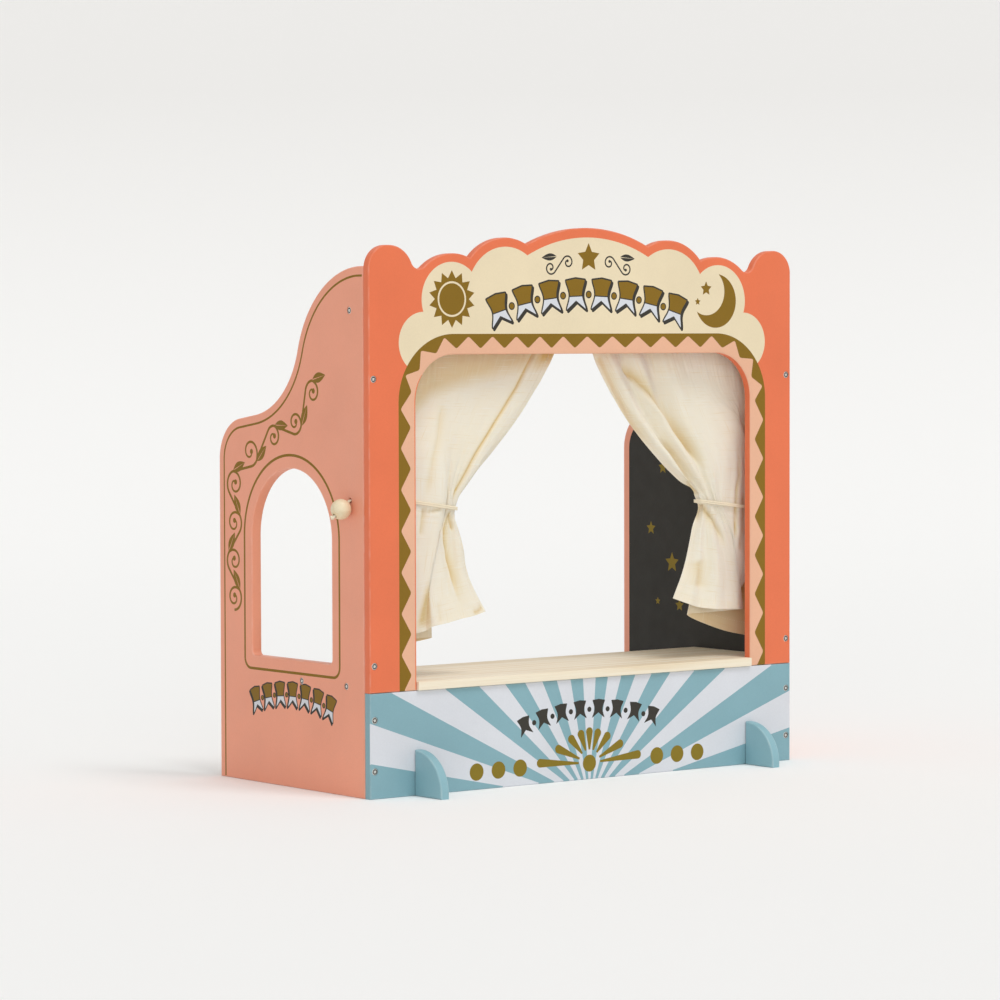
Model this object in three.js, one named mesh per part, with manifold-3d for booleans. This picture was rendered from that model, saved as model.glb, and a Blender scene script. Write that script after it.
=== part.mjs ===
// A children's wooden tabletop puppet theater: an arched front with a scalloped header,
// two stepped side boards, a stage shelf, a curtain rod, two tied-back curtains and two feet.
// Lengths are millimetres; x runs to the right, y from the front to the back and z up.

import * as THREE from "three";
import { mergeVertices } from "three/addons/utils/BufferGeometryUtils.js";
import Module from "manifold-3d";

const wasm = await Module();
wasm.setup();

// Front boards
const boardWidth = 570;
const boardHeight = 580.75;
const frontThickness = 9.5;
const lowerHeight = 107.25;
const edgeChamfer = 0.75;
const jointGap = 0.25; // between boards that are screwed together

// Opening of the stage
const openingSide = 58.75; // board left beside the opening
const openingHeader = 131.75; // board left above the opening, at the middle
const openingCorner = 48.5;

// Scalloped header, from the middle to the posts
const crownRadius = 190;
const innerScallopRadius = 60;
const innerScallopDrop = 11.5; // below the top of the crown
const outerScallopRadius = 56;
const outerScallopDrop = 28.5;
const scallopPitch = 68; // between the centres of the two scallops
const postPitch = 80; // from the outer scallop's centre to the post cap's
const postDrop = 21;
const postInnerRadius = 30;
const postCornerRadius = 24;
const postFlat = 3;
const valleyRadius = 10;

// Side boards
const sideThickness = 12;
const carcassDepth = 272; // from the front face to the back edges
const sideDrop = 42.25; // side boards end below the top of the crown
const browRadius = 116.5; // convex round at the top
const browInset = 14; // its centre behind the front face
const sweepRadius = 95; // concave sweep below it
const shoulderRadius = 44; // convex round at the back
const shoulderHeight = 382;
const shoulderRun = 31; // straight stretch between the shoulder and the sweep

// Ticket window in the left side board
const windowWidth = 145;
const windowHeight = 198.5;
const windowSill = 133;
const windowSetback = 138.75; // its middle behind the front face
const windowCorner = 5;

// Stage shelf
const shelfThickness = 9;
const shelfDepth = 150;
const shelfNosing = 3; // the shelf stands proud of the front face

// Feet in front of the lower board
const footThickness = 10.5;
const footReach = 45;
const footHeight = 47;
const footToe = 5; // upright end of the toe
const footInset = 60.75; // from the board's end to the foot's middle

// Curtain rod
const rodRadius = 5;
const rodSetback = 34; // behind the front face
const rodRise = 45; // above the top of the opening

// Curtains: a gathered sleeve on the rod, a tied waist and a flared tail
const clothThickness = 1.5;
const sleeveClearance = 1; // between the rod and the cloth round it
const seamDrop = 13; // the sleeve's seam below the rod's axis
const headingGap = 13; // the heading's leading edge stays this far from the middle
const hemClearance = 12.5; // the longest hem stays this far above the shelf
const foldDepth = 10; // depth of the main folds
const sleeveAngles = [-30, 10, 50, 90, 130, 170, 210];
const columnCells = 24;
const hangingCells = 15;
const columnShares = 13; // places in each station of a curtain
const headingDepthShare = -0.41; // the heading hangs from the sleeve's front

// Tie cords, their pull beads and the holes that the cords pass
const cordRadius = 1.25;
const cordClearance = 0.5;
const loopSlack = 2.5; // the loop stands off the two sides of the gathered cloth
const loopPower = 3; // squareness of the loop round the gathered cloth
const pullHoleRadius = 2.75;
const pullHoleDrop = 147.5; // below the top of the opening
const tieOverlap = 1.75; // the tie's end reaches into the hole
const beadRadius = 10.5;
const beadBore = 2.5;
const beadDrop = 8.5; // the bead's middle below the hole
const knotRadius = 3;
const pieceClearance = 0.3;

// Countersunk screws
const screwShank = 1.75;
const screwHead = 3.5;
const screwCone = 2.6;
const screwRim = 0.4;
const screwTip = 3;
const screwSunk = 0.4; // the head lies below the surface
const recessLength = 3.6;
const recessWidth = 0.9;
const recessDepth = 1.5;
const longScrew = 30;
const shortScrew = 25;
const bottomScrewInset = 28; // lowest screw above the floor
const seamScrewInset = 27.25; // screws above and below the seam of the front boards
const archScrewInset = 24.5; // highest screw below the top of the opening
const shelfScrewSetbacks = [41.5, 121];
const footScrewHeights = [14, 33];

// Angles in degrees
const quarterTurn = 90;
const halfTurn = 180;
const fullTurn = 360;

// Fineness of the curves
const arcStep = 4.5; // degrees
const roundSides = 18;
const screwSides = 10;
const beadRings = 9;
const cordSides = 8;
const loopSteps = 36;
const tailSteps = 6;
const pullSteps = 14;
const overrun = 5; // every cut runs past the face that it opens

// Worked-out places
const halfWidth = boardWidth / 2;
const innerHalf = halfWidth - sideThickness;
const seamHeight = lowerHeight + jointGap;
const openingTop = boardHeight - openingHeader;
const openingHalf = halfWidth - openingSide;
const sideFront = frontThickness + jointGap;
const sideTop = boardHeight - sideDrop;
const rodHeight = openingTop + rodRise;
const pullHeight = openingTop - pullHoleDrop;
const shelfTop = seamHeight + shelfThickness;
const curtainSpan = innerHalf - headingGap; // width of the heading along the rod
const curtainDrop = rodHeight - shelfTop - hemClearance; // below the rod's axis
const footHalf = halfWidth - footInset;
const frontOffset = (footReach - carcassDepth) / 2; // centres the depth on the origin

// Painted and natural finishes
const finish = (colour, roughness, metalness = 0) =>
  new THREE.MeshStandardMaterial({ color: new THREE.Color(colour), roughness, metalness });
const coralPaint = () => finish("#e27b5c", 0.5);
const pinkPaint = () => finish("#d39278", 0.5);
const tealPaint = () => finish("#8aafb6", 0.5);
const paleWood = () => finish("#ead9b8", 0.6);
const linen = () => finish("#ece2cb", 0.95);
const cottonCord = () => finish("#efe4cd", 0.9);
const steel = () => finish("#a8a8a6", 0.35, 0.9);

// Solids

/** Turns a closed geometry into a solid whose shared vertices are merged. */
function solidOf(geometry) {
  const bare = new THREE.BufferGeometry();
  const loose = geometry.index ? geometry.toNonIndexed() : geometry;
  bare.setAttribute("position", loose.getAttribute("position").clone());
  const merged = mergeVertices(bare);
  return new wasm.Manifold(
    new wasm.Mesh({
      numProp: 3,
      vertProperties: merged.getAttribute("position").array,
      triVerts: new Uint32Array(merged.index.array),
    }),
  );
}

/** Turns a solid back into a geometry. */
function geometryOf(solid) {
  const mesh = solid.getMesh();
  const geometry = new THREE.BufferGeometry();
  geometry.setAttribute("position", new THREE.BufferAttribute(mesh.vertProperties, 3));
  geometry.setIndex(new THREE.BufferAttribute(mesh.triVerts, 1));
  geometry.computeVertexNormals();
  return geometry;
}

/** Takes every cutter away from a geometry. */
function cut(geometry, cutters) {
  let solid = solidOf(geometry);
  for (const cutter of cutters) solid = solid.subtract(solidOf(cutter));
  return geometryOf(solid);
}

/** Joins geometries that overlap into one. */
function join(geometries) {
  return geometryOf(geometries.map(solidOf).reduce((whole, next) => whole.add(next)));
}

/** Points along an arc from one angle to another, in degrees. */
function arc(centre, radius, from, to) {
  const steps = Math.max(2, Math.ceil(Math.abs(to - from) / arcStep));
  return Array.from({ length: steps + 1 }, (_, i) => {
    const angle = THREE.MathUtils.degToRad(from + ((to - from) * i) / steps);
    return new THREE.Vector2(
      centre.x + radius * Math.cos(angle),
      centre.y + radius * Math.sin(angle),
    );
  });
}

/** Angle in degrees from a centre to a point. */
function bearing(centre, point) {
  return THREE.MathUtils.radToDeg(Math.atan2(point.y - centre.y, point.x - centre.x));
}

/** The point where two circles meet, on the left of the way from the first centre to the second. */
function meet(a, radiusA, b, radiusB) {
  const across = b.clone().sub(a);
  const distance = across.length();
  const along = (distance ** 2 + radiusA ** 2 - radiusB ** 2) / (2 * distance);
  const aside = Math.sqrt(Math.max(0, radiusA ** 2 - along ** 2));
  across.normalize();
  return new THREE.Vector2(
    a.x + across.x * along - across.y * aside,
    a.y + across.y * along + across.x * aside,
  );
}

/** Drops a point that repeats the one before it. */
function tidy(points) {
  return points.filter(
    (p, i) => p.distanceTo(points[(i + points.length - 1) % points.length]) > edgeChamfer / 10,
  );
}

// How a flat outline stands: across and up, and the way its thickness runs
const facingFront = new THREE.Matrix4().makeBasis(
  new THREE.Vector3(1, 0, 0),
  new THREE.Vector3(0, 0, 1),
  new THREE.Vector3(0, -1, 0),
);
const facingSide = new THREE.Matrix4().makeBasis(
  new THREE.Vector3(0, 1, 0),
  new THREE.Vector3(0, 0, 1),
  new THREE.Vector3(1, 0, 0),
);

/** A board with eased edges: an outline and its holes, extruded and stood up. */
function board(outline, holes, thickness, stance, chamfer = edgeChamfer) {
  const shape = new THREE.Shape(tidy(outline));
  shape.holes = holes.map((hole) => new THREE.Path(tidy(hole)));
  const geometry = new THREE.ExtrudeGeometry(shape, {
    depth: thickness - 2 * chamfer,
    steps: 1,
    bevelEnabled: true,
    bevelThickness: chamfer,
    bevelSize: chamfer,
    bevelOffset: -chamfer,
    bevelSegments: 1,
    curveSegments: 1,
  });
  geometry.translate(0, 0, chamfer);
  return geometry.applyMatrix4(stance);
}

/** A rectangle's corners, from its low corner to its high one. */
function rectangle(left, bottom, right, top) {
  return [
    new THREE.Vector2(left, bottom),
    new THREE.Vector2(right, bottom),
    new THREE.Vector2(right, top),
    new THREE.Vector2(left, top),
  ];
}

// Screws

/** A turned profile of a countersunk screw, swelled by a clearance where it is a hole's. */
function screwProfile(length, clearance, mouth) {
  const shank = screwShank + clearance;
  const head = screwHead + clearance;
  return [
    new THREE.Vector2(0, -length - clearance),
    new THREE.Vector2(shank, screwTip - length - clearance),
    new THREE.Vector2(shank, -screwCone - clearance),
    new THREE.Vector2(head, -screwRim - clearance),
    new THREE.Vector2(head, mouth),
    new THREE.Vector2(0, mouth),
  ];
}

/** Turns a geometry made along +Y to point a given way, and puts it in its place. */
function aim(geometry, place, outward) {
  const turn = new THREE.Quaternion().setFromUnitVectors(
    new THREE.Vector3(0, 1, 0),
    outward.clone().normalize(),
  );
  return geometry.applyQuaternion(turn).translate(place.x, place.y, place.z);
}

/** One screw with a cross recess, its head's top at a place and facing outward. */
function screw({ place, outward, length }) {
  const body = new THREE.LatheGeometry(screwProfile(length, 0, 0), screwSides);
  const slots = [0, Math.PI / 2].map((turn) =>
    new THREE.BoxGeometry(recessLength, 2 * recessDepth, recessWidth).rotateY(turn),
  );
  return aim(cut(body, slots), place, outward);
}

/** The hole that a screw needs, open at the face it was driven through. */
function screwHole({ place, outward, length }) {
  const profile = screwProfile(length, pieceClearance, overrun);
  return aim(new THREE.LatheGeometry(profile, screwSides), place, outward);
}

const frontward = new THREE.Vector3(0, -1, 0);
const backward = new THREE.Vector3(0, 1, 0);

/** Screws through the front boards into one side board's edge. */
function frontScrews(side) {
  const heights = [
    bottomScrewInset,
    lowerHeight - seamScrewInset,
    seamHeight + seamScrewInset,
    openingTop - archScrewInset,
  ];
  return heights.map((z) => ({
    place: new THREE.Vector3(side * (halfWidth - sideThickness / 2), screwSunk, z),
    outward: frontward,
    length: longScrew,
  }));
}

/** Screws through one side board into the shelf. */
function shelfScrews(side) {
  return shelfScrewSetbacks.map((y) => ({
    place: new THREE.Vector3(side * (halfWidth - screwSunk), y, shelfTop - shelfThickness / 2),
    outward: new THREE.Vector3(side, 0, 0),
    length: longScrew,
  }));
}

/** The screw through one side board into the rod's end. */
function rodScrews(side) {
  return [
    {
      place: new THREE.Vector3(side * (halfWidth - screwSunk), rodSetback, rodHeight),
      outward: new THREE.Vector3(side, 0, 0),
      length: longScrew,
    },
  ];
}

/** Screws through the lower board's back into one foot. */
function footScrews(side) {
  return footScrewHeights.map((z) => ({
    place: new THREE.Vector3(side * footHalf, frontThickness - screwSunk, z),
    outward: backward,
    length: shortScrew,
  }));
}

const bothSides = (list) => [-1, 1].flatMap((side) => list(side));

// Front boards

/** The header's outline on the right half, from the middle to the post's outer edge. */
function headerHalf() {
  const crown = new THREE.Vector2(0, boardHeight - crownRadius);
  const corner = new THREE.Vector2(
    halfWidth - postCornerRadius,
    boardHeight - postDrop - postCornerRadius,
  );
  const cap = new THREE.Vector2(corner.x - postFlat, boardHeight - postDrop - postInnerRadius);
  const outer = new THREE.Vector2(
    cap.x - postPitch,
    boardHeight - outerScallopDrop - outerScallopRadius,
  );
  const inner = new THREE.Vector2(
    outer.x - scallopPitch,
    boardHeight - innerScallopDrop - innerScallopRadius,
  );
  const valley = meet(
    outer,
    outerScallopRadius + valleyRadius,
    cap,
    postInnerRadius + valleyRadius,
  );
  const crownCusp = meet(crown, crownRadius, inner, innerScallopRadius);
  const scallopCusp = meet(inner, innerScallopRadius, outer, outerScallopRadius);
  return [
    ...arc(crown, crownRadius, quarterTurn, bearing(crown, crownCusp)),
    ...arc(inner, innerScallopRadius, bearing(inner, crownCusp), bearing(inner, scallopCusp)),
    ...arc(outer, outerScallopRadius, bearing(outer, scallopCusp), bearing(outer, valley)),
    ...arc(
      valley,
      valleyRadius,
      bearing(valley, outer) + fullTurn,
      bearing(valley, cap) + fullTurn,
    ),
    ...arc(cap, postInnerRadius, bearing(cap, valley), quarterTurn),
    ...arc(corner, postCornerRadius, quarterTurn, 0),
  ];
}

/** The opening's outline on the right half, from the top down to the seam. */
function openingRightHalf() {
  const corner = new THREE.Vector2(openingHalf - openingCorner, openingTop - openingCorner);
  return [
    ...arc(corner, openingCorner, quarterTurn, 0),
    new THREE.Vector2(openingHalf, seamHeight),
  ];
}

const mirrored = (points) => points.map((p) => new THREE.Vector2(-p.x, p.y)).reverse();

/** The arch board: header and posts in one piece round the stage opening. */
function archBoard() {
  const header = headerHalf();
  const opening = openingRightHalf();
  const foot = new THREE.Vector2(halfWidth, seamHeight);
  const outline = [
    ...mirrored([...header, foot]),
    ...header,
    foot,
    ...[...opening].reverse(),
    ...opening.map((p) => new THREE.Vector2(-p.x, p.y)),
  ];
  const geometry = board(outline.reverse(), [], frontThickness, facingFront);
  geometry.translate(0, frontThickness, 0);
  return cut(geometry, bothSides(frontScrews).map(screwHole));
}

/** The lower board, under the seam. */
function lowerBoard() {
  const outline = rectangle(-halfWidth, 0, halfWidth, lowerHeight);
  const geometry = board(outline, [], frontThickness, facingFront);
  geometry.translate(0, frontThickness, 0);
  const screws = [...bothSides(frontScrews), ...bothSides(footScrews)];
  return cut(geometry, screws.map(screwHole));
}

// Side boards

/** A side board's outline, seen along x with y across. */
function sideOutline() {
  const shoulder = new THREE.Vector2(
    carcassDepth - shoulderRadius,
    shoulderHeight - shoulderRadius,
  );
  const brow = new THREE.Vector2(browInset, sideTop - browRadius);
  const reach = Math.hypot(shoulderRun, shoulderRadius + sweepRadius);
  const sweep = meet(brow, browRadius + sweepRadius, shoulder, reach);
  // The straight run touches the shoulder and the sweep on their facing sides
  const lean = THREE.MathUtils.radToDeg(Math.acos((shoulderRadius + sweepRadius) / reach));
  const shoulderEnd = bearing(shoulder, sweep) - lean;
  const frontEdge = brow.y + Math.sqrt(browRadius ** 2 - (sideFront - browInset) ** 2);
  return [
    new THREE.Vector2(sideFront, 0),
    new THREE.Vector2(carcassDepth, 0),
    ...arc(shoulder, shoulderRadius, 0, shoulderEnd),
    ...arc(sweep, sweepRadius, shoulderEnd + halfTurn, bearing(sweep, brow) + fullTurn),
    ...arc(
      brow,
      browRadius,
      bearing(brow, sweep),
      bearing(brow, new THREE.Vector2(sideFront, frontEdge)),
    ),
  ];
}

/** The ticket window's outline: an arch on a sill with small corner rounds. */
function windowOutline() {
  const half = windowWidth / 2;
  const spring = windowSill + windowHeight - half;
  const low = windowSill + windowCorner;
  const right = new THREE.Vector2(windowSetback + half - windowCorner, low);
  const left = new THREE.Vector2(windowSetback - half + windowCorner, low);
  return [
    ...arc(right, windowCorner, -quarterTurn, 0),
    ...arc(new THREE.Vector2(windowSetback, spring), half, 0, halfTurn),
    ...arc(left, windowCorner, halfTurn, halfTurn + quarterTurn),
  ];
}

/** One side board; the left one has the ticket window. */
function sideBoard(side) {
  const holes = side < 0 ? [windowOutline()] : [];
  const geometry = board(sideOutline(), holes, sideThickness, facingSide);
  geometry.translate(side < 0 ? -halfWidth : innerHalf, 0, 0);
  const pullHole = new THREE.CylinderGeometry(
    pullHoleRadius,
    pullHoleRadius,
    sideThickness + 2 * overrun,
    screwSides,
  );
  const hole = aim(
    pullHole,
    new THREE.Vector3(side * (halfWidth - sideThickness / 2), rodSetback, pullHeight),
    new THREE.Vector3(1, 0, 0),
  );
  const screws = [...frontScrews(side), ...shelfScrews(side), ...rodScrews(side)];
  return cut(geometry, [hole, ...screws.map(screwHole)]);
}

// Shelf, feet and rod

/** The stage shelf: a tongue through the opening and a wider part behind the front boards. */
function stageShelf() {
  const tongue = openingHalf - jointGap;
  const wide = innerHalf - jointGap;
  const outline = [
    new THREE.Vector2(-tongue, -shelfNosing),
    new THREE.Vector2(tongue, -shelfNosing),
    new THREE.Vector2(tongue, sideFront),
    new THREE.Vector2(wide, sideFront),
    new THREE.Vector2(wide, shelfDepth - shelfNosing),
    new THREE.Vector2(-wide, shelfDepth - shelfNosing),
    new THREE.Vector2(-wide, sideFront),
    new THREE.Vector2(-tongue, sideFront),
  ];
  const geometry = board(outline, [], shelfThickness, new THREE.Matrix4());
  geometry.translate(0, 0, seamHeight);
  return cut(geometry, bothSides(shelfScrews).map(screwHole));
}

/** A quarter-round foot against the lower board's front. */
function foot(side) {
  const heel = -jointGap;
  const toe = new THREE.Vector2(heel, footToe);
  const quarter = arc(toe, 1, halfTurn, quarterTurn).map(
    (p) =>
      new THREE.Vector2(
        heel + (p.x - toe.x) * (footReach - jointGap),
        footToe + (p.y - toe.y) * (footHeight - footToe),
      ),
  );
  const outline = [
    ...quarter,
    new THREE.Vector2(heel, 0),
    new THREE.Vector2(-footReach, 0),
  ].reverse();
  const geometry = board(outline, [], footThickness, facingSide);
  geometry.translate(side * footHalf - footThickness / 2, 0, 0);
  return cut(geometry, footScrews(side).map(screwHole));
}

/** The rod between the side boards, drilled at its ends. */
function curtainRod() {
  const length = 2 * (innerHalf - jointGap);
  const geometry = new THREE.CylinderGeometry(rodRadius, rodRadius, length, roundSides);
  const middle = new THREE.Vector3(0, rodSetback, rodHeight);
  aim(geometry, middle, new THREE.Vector3(1, 0, 0));
  return cut(geometry, bothSides(rodScrews).map(screwHole));
}

// Curtains: each is a net of stations down the cloth. A station holds its drop below the rod at
// the leading and the outer edge, its places across from the side board, and its fold depths.
// The columns run from the leading edge to the outer edge, and the tie goes round one station.

const leftStations = [
  {
    dropShares: [0.04, 0.04],
    acrossShares: [1.0, 0.918, 0.836, 0.754, 0.672, 0.59, 0.508, 0.426, 0.344, 0.262, 0.18, 0.098, 0.016],
    depthShares: Array(columnShares).fill(headingDepthShare),
  },
  {
    dropShares: [0.125, 0.125],
    acrossShares: [0.954, 0.88, 0.805, 0.728, 0.65, 0.572, 0.494, 0.416, 0.338, 0.258, 0.178, 0.098, 0.018],
    depthShares: [-0.5, -0.85, -0.3, -0.8, -0.25, -0.75, -0.3, -0.7, -0.3, -0.65, -0.3, -0.6, -0.35],
  },
  {
    dropShares: [0.24, 0.23],
    acrossShares: [0.827, 0.765, 0.703, 0.64, 0.577, 0.513, 0.448, 0.382, 0.315, 0.245, 0.172, 0.098, 0.024],
    depthShares: [-0.6, -1.0, -0.35, -0.95, -0.3, -0.85, -0.5, -0.9, -0.5, -0.4, -0.1, 0.0, -0.1],
  },
  {
    dropShares: [0.355, 0.33],
    acrossShares: [0.685, 0.638, 0.59, 0.54, 0.488, 0.434, 0.385, 0.315, 0.22, 0.2, 0.18, 0.11, 0.035],
    depthShares: [-0.5, -1.0, -0.5, -1.0, -0.55, -0.85, -0.75, -1.0, -0.7, -0.05, 0.25, 0.45, 0.3],
  },
  {
    dropShares: [0.48, 0.44],
    acrossShares: [0.53, 0.505, 0.48, 0.455, 0.43, 0.41, 0.39, 0.25, 0.11, 0.22, 0.36, 0.22, 0.07],
    depthShares: [-0.2, -0.85, -0.75, -0.95, -0.8, -0.6, -0.9, -1.0, -0.55, 0.05, 0.25, 0.85, 0.6],
  },
  {
    tied: true,
    dropShares: [0.56, 0.522],
    acrossShares: [0.461, 0.45, 0.437, 0.425, 0.412, 0.404, 0.385, 0.245, 0.1, 0.24, 0.42, 0.26, 0.1],
    depthShares: [-0.05, -0.5, -0.66, -0.74, -0.79, -0.4, -0.86, -0.96, -0.4, 0.1, 0.25, 0.92, 0.5],
  },
  {
    dropShares: [0.655, 0.66],
    acrossShares: [0.487, 0.458, 0.43, 0.402, 0.376, 0.39, 0.355, 0.22, 0.08, 0.22, 0.385, 0.23, 0.085],
    depthShares: [-0.2, -0.75, -0.95, -1.05, -0.95, -0.45, -0.6, -0.7, -0.35, 0.3, 0.6, 1.15, 0.95],
  },
  {
    dropShares: [0.755, 0.81],
    acrossShares: [0.54, 0.49, 0.435, 0.385, 0.34, 0.375, 0.33, 0.215, 0.09, 0.21, 0.355, 0.21, 0.065],
    depthShares: [-0.4, -1.0, -1.05, -1.3, -1.1, -0.45, -0.2, -0.35, -0.1, 0.5, 0.9, 1.4, 1.2],
  },
  {
    dropShares: [0.845, 0.855, 0.863, 0.872, 0.88, 0.888, 0.897, 0.912, 0.928, 0.915, 0.902, 0.935, 0.965],
    acrossShares: [0.588, 0.53, 0.455, 0.39, 0.335, 0.385, 0.325, 0.22, 0.1, 0.21, 0.34, 0.195, 0.05],
    depthShares: [-0.5, -1.05, -1.0, -1.45, -1.15, -0.4, 0.05, -0.1, 0.1, 0.75, 1.15, 1.6, 1.4],
  },
];

const rightStations = [
  {
    dropShares: [0.04, 0.04],
    acrossShares: [0.986, 0.905, 0.824, 0.743, 0.662, 0.581, 0.5, 0.419, 0.338, 0.257, 0.176, 0.095, 0.016],
    depthShares: Array(columnShares).fill(headingDepthShare),
  },
  {
    dropShares: [0.125, 0.125],
    acrossShares: [0.934, 0.862, 0.79, 0.716, 0.64, 0.563, 0.485, 0.407, 0.329, 0.25, 0.172, 0.095, 0.018],
    depthShares: [-0.4, -1.0, -0.2, -0.95, -0.15, -0.85, -0.3, -0.55, -0.4, -0.6, -0.35, -0.55, -0.3],
  },
  {
    dropShares: [0.235, 0.235],
    acrossShares: [0.842, 0.778, 0.714, 0.648, 0.582, 0.514, 0.446, 0.376, 0.305, 0.235, 0.165, 0.095, 0.022],
    depthShares: [-0.4, -1.1, -0.15, -1.1, -0.1, -0.9, -0.45, -0.7, -0.45, -0.5, -0.1, 0.0, -0.15],
  },
  {
    dropShares: [0.34, 0.33],
    acrossShares: [0.726, 0.675, 0.62, 0.565, 0.51, 0.45, 0.388, 0.315, 0.24, 0.205, 0.17, 0.1, 0.03],
    depthShares: [-0.35, -1.1, -0.25, -1.1, -0.25, -0.95, -0.6, -0.9, -0.6, -0.05, 0.25, 0.4, 0.2],
  },
  {
    dropShares: [0.455, 0.45],
    acrossShares: [0.545, 0.51, 0.47, 0.43, 0.388, 0.34, 0.28, 0.2, 0.11, 0.19, 0.28, 0.17, 0.06],
    depthShares: [-0.25, -1.0, -0.45, -1.05, -0.5, -1.0, -0.8, -0.95, -0.4, 0.1, 0.3, 0.85, 0.5],
  },
  {
    tied: true,
    dropShares: [0.565, 0.594],
    acrossShares: [0.373, 0.358, 0.338, 0.315, 0.288, 0.255, 0.215, 0.14, 0.072, 0.17, 0.335, 0.19, 0.07],
    depthShares: [-0.05, -0.6, -0.72, -0.85, -0.84, -0.96, -0.94, -0.88, -0.15, 0.1, 0.25, 0.92, 0.45],
  },
  {
    dropShares: [0.65, 0.68],
    acrossShares: [0.405, 0.375, 0.345, 0.3, 0.25, 0.195, 0.15, 0.12, 0.09, 0.18, 0.32, 0.19, 0.06],
    depthShares: [-0.25, -1.0, -0.75, -1.15, -0.95, -1.05, -0.85, -0.45, 0.05, 0.35, 0.5, 1.1, 0.8],
  },
  {
    dropShares: [0.76, 0.82],
    acrossShares: [0.45, 0.4, 0.345, 0.285, 0.215, 0.16, 0.135, 0.17, 0.23, 0.29, 0.36, 0.2, 0.05],
    depthShares: [-0.5, -1.25, -0.9, -1.35, -1.05, -1.1, -0.6, -0.15, 0.1, 0.35, 0.6, 1.3, 1.1],
  },
  {
    dropShares: [0.85, 0.868, 0.88, 0.887, 0.89, 0.892, 0.894, 0.896, 0.898, 0.9, 0.903, 0.955, 0.985],
    acrossShares: [0.512, 0.45, 0.385, 0.31, 0.225, 0.14, 0.118, 0.18, 0.26, 0.34, 0.405, 0.22, 0.04],
    depthShares: [-0.6, -1.3, -0.95, -1.45, -1.1, -1.2, -0.5, 0.0, 0.15, 0.35, 0.6, 1.45, 1.3],
  },
];

/** The places of one station, across, deep and high, from the side board's inner face. */
function stationPoints(station) {
  const { dropShares, acrossShares, depthShares } = station;
  const [lead, outer] = [acrossShares[0], acrossShares.at(-1)];
  return acrossShares.map((across, i) => {
    const drop =
      dropShares.length > 2
        ? dropShares[i]
        : THREE.MathUtils.mapLinear(across, lead, outer, dropShares[0], dropShares[1]);
    return new THREE.Vector3(
      innerHalf - across * curtainSpan,
      rodSetback + depthShares[i] * foldDepth,
      rodHeight - drop * curtainDrop,
    );
  });
}

/** The sleeve round the rod above the first station, from its seam over the top to the front. */
function sleevePoints(top) {
  const radius = rodRadius + sleeveClearance + clothThickness / 2;
  const lap = top.y + clothThickness + pieceClearance;
  const seam = new THREE.Vector3(top.x, lap, rodHeight - seamDrop);
  const round = sleeveAngles.map((degrees) => {
    const angle = THREE.MathUtils.degToRad(degrees);
    return new THREE.Vector3(
      top.x,
      rodSetback + radius * Math.cos(angle),
      rodHeight + radius * Math.sin(angle),
    );
  });
  return [seam, ...round];
}

/** Samples a smooth curve through points at even steps of its parameter. */
function through(points, cells) {
  const curve = new THREE.CatmullRomCurve3(points);
  return Array.from({ length: cells + 1 }, (_, i) => curve.getPoint(i / cells));
}

/** The middle surface of a curtain, as rows of places from the sleeve's seam to the hem. */
function curtainRows(stations) {
  const nets = stations.map(stationPoints);
  const columns = nets[0].map((_, i) => {
    const hanging = through(
      nets.map((net) => net[i]),
      hangingCells,
    );
    return [...sleevePoints(hanging[0]), ...hanging];
  });
  return columns[0].map((_, row) =>
    through(
      columns.map((column) => column[row]),
      columnCells,
    ),
  );
}

/** A closed cloth solid of even thickness round a surface of rows. */
function cloth(rows, thickness) {
  const height = rows.length;
  const width = rows[0].length;
  const at = (r, c) =>
    rows[Math.min(Math.max(r, 0), height - 1)][Math.min(Math.max(c, 0), width - 1)];
  const positions = [];
  for (const face of [1, -1])
    for (let r = 0; r < height; r++)
      for (let c = 0; c < width; c++) {
        const down = at(r + 1, c).clone().sub(at(r - 1, c));
        const along = at(r, c + 1).clone().sub(at(r, c - 1));
        const normal = down.cross(along).normalize();
        positions.push(...at(r, c).clone().addScaledVector(normal, (face * thickness) / 2));
      }
  const vertex = (face, r, c) => face * height * width + r * width + c;
  const triangles = [];
  const quad = (a, b, c, d) => triangles.push(a, b, c, a, c, d);
  for (let r = 0; r < height - 1; r++)
    for (let c = 0; c < width - 1; c++) {
      quad(vertex(0, r, c), vertex(0, r + 1, c), vertex(0, r + 1, c + 1), vertex(0, r, c + 1));
      quad(vertex(1, r, c), vertex(1, r, c + 1), vertex(1, r + 1, c + 1), vertex(1, r + 1, c));
    }
  for (let r = 0; r < height - 1; r++)
    for (const [c, turn] of [[0, false], [width - 1, true]]) {
      const [a, b] = turn ? [r + 1, r] : [r, r + 1];
      quad(vertex(0, a, c), vertex(1, a, c), vertex(1, b, c), vertex(0, b, c));
    }
  for (let c = 0; c < width - 1; c++)
    for (const [r, turn] of [[0, true], [height - 1, false]]) {
      const [a, b] = turn ? [c + 1, c] : [c, c + 1];
      quad(vertex(0, r, a), vertex(1, r, a), vertex(1, r, b), vertex(0, r, b));
    }
  const geometry = new THREE.BufferGeometry();
  geometry.setAttribute("position", new THREE.Float32BufferAttribute(positions, 3));
  geometry.setIndex(triangles);
  return geometry;
}

/** Mirrors a geometry to the other side of the theater and keeps its faces outward. */
function mirrorAcross(geometry) {
  const flipped = geometry.index ? geometry.toNonIndexed() : geometry.clone();
  const position = flipped.getAttribute("position");
  const far = position.clone();
  for (let i = 0; i < position.count; i += 3)
    [0, 2, 1].forEach((from, to) => {
      const k = i + from;
      far.setXYZ(i + to, -position.getX(k), position.getY(k), position.getZ(k));
    });
  const bare = new THREE.BufferGeometry();
  bare.setAttribute("position", far);
  return bare;
}

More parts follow.
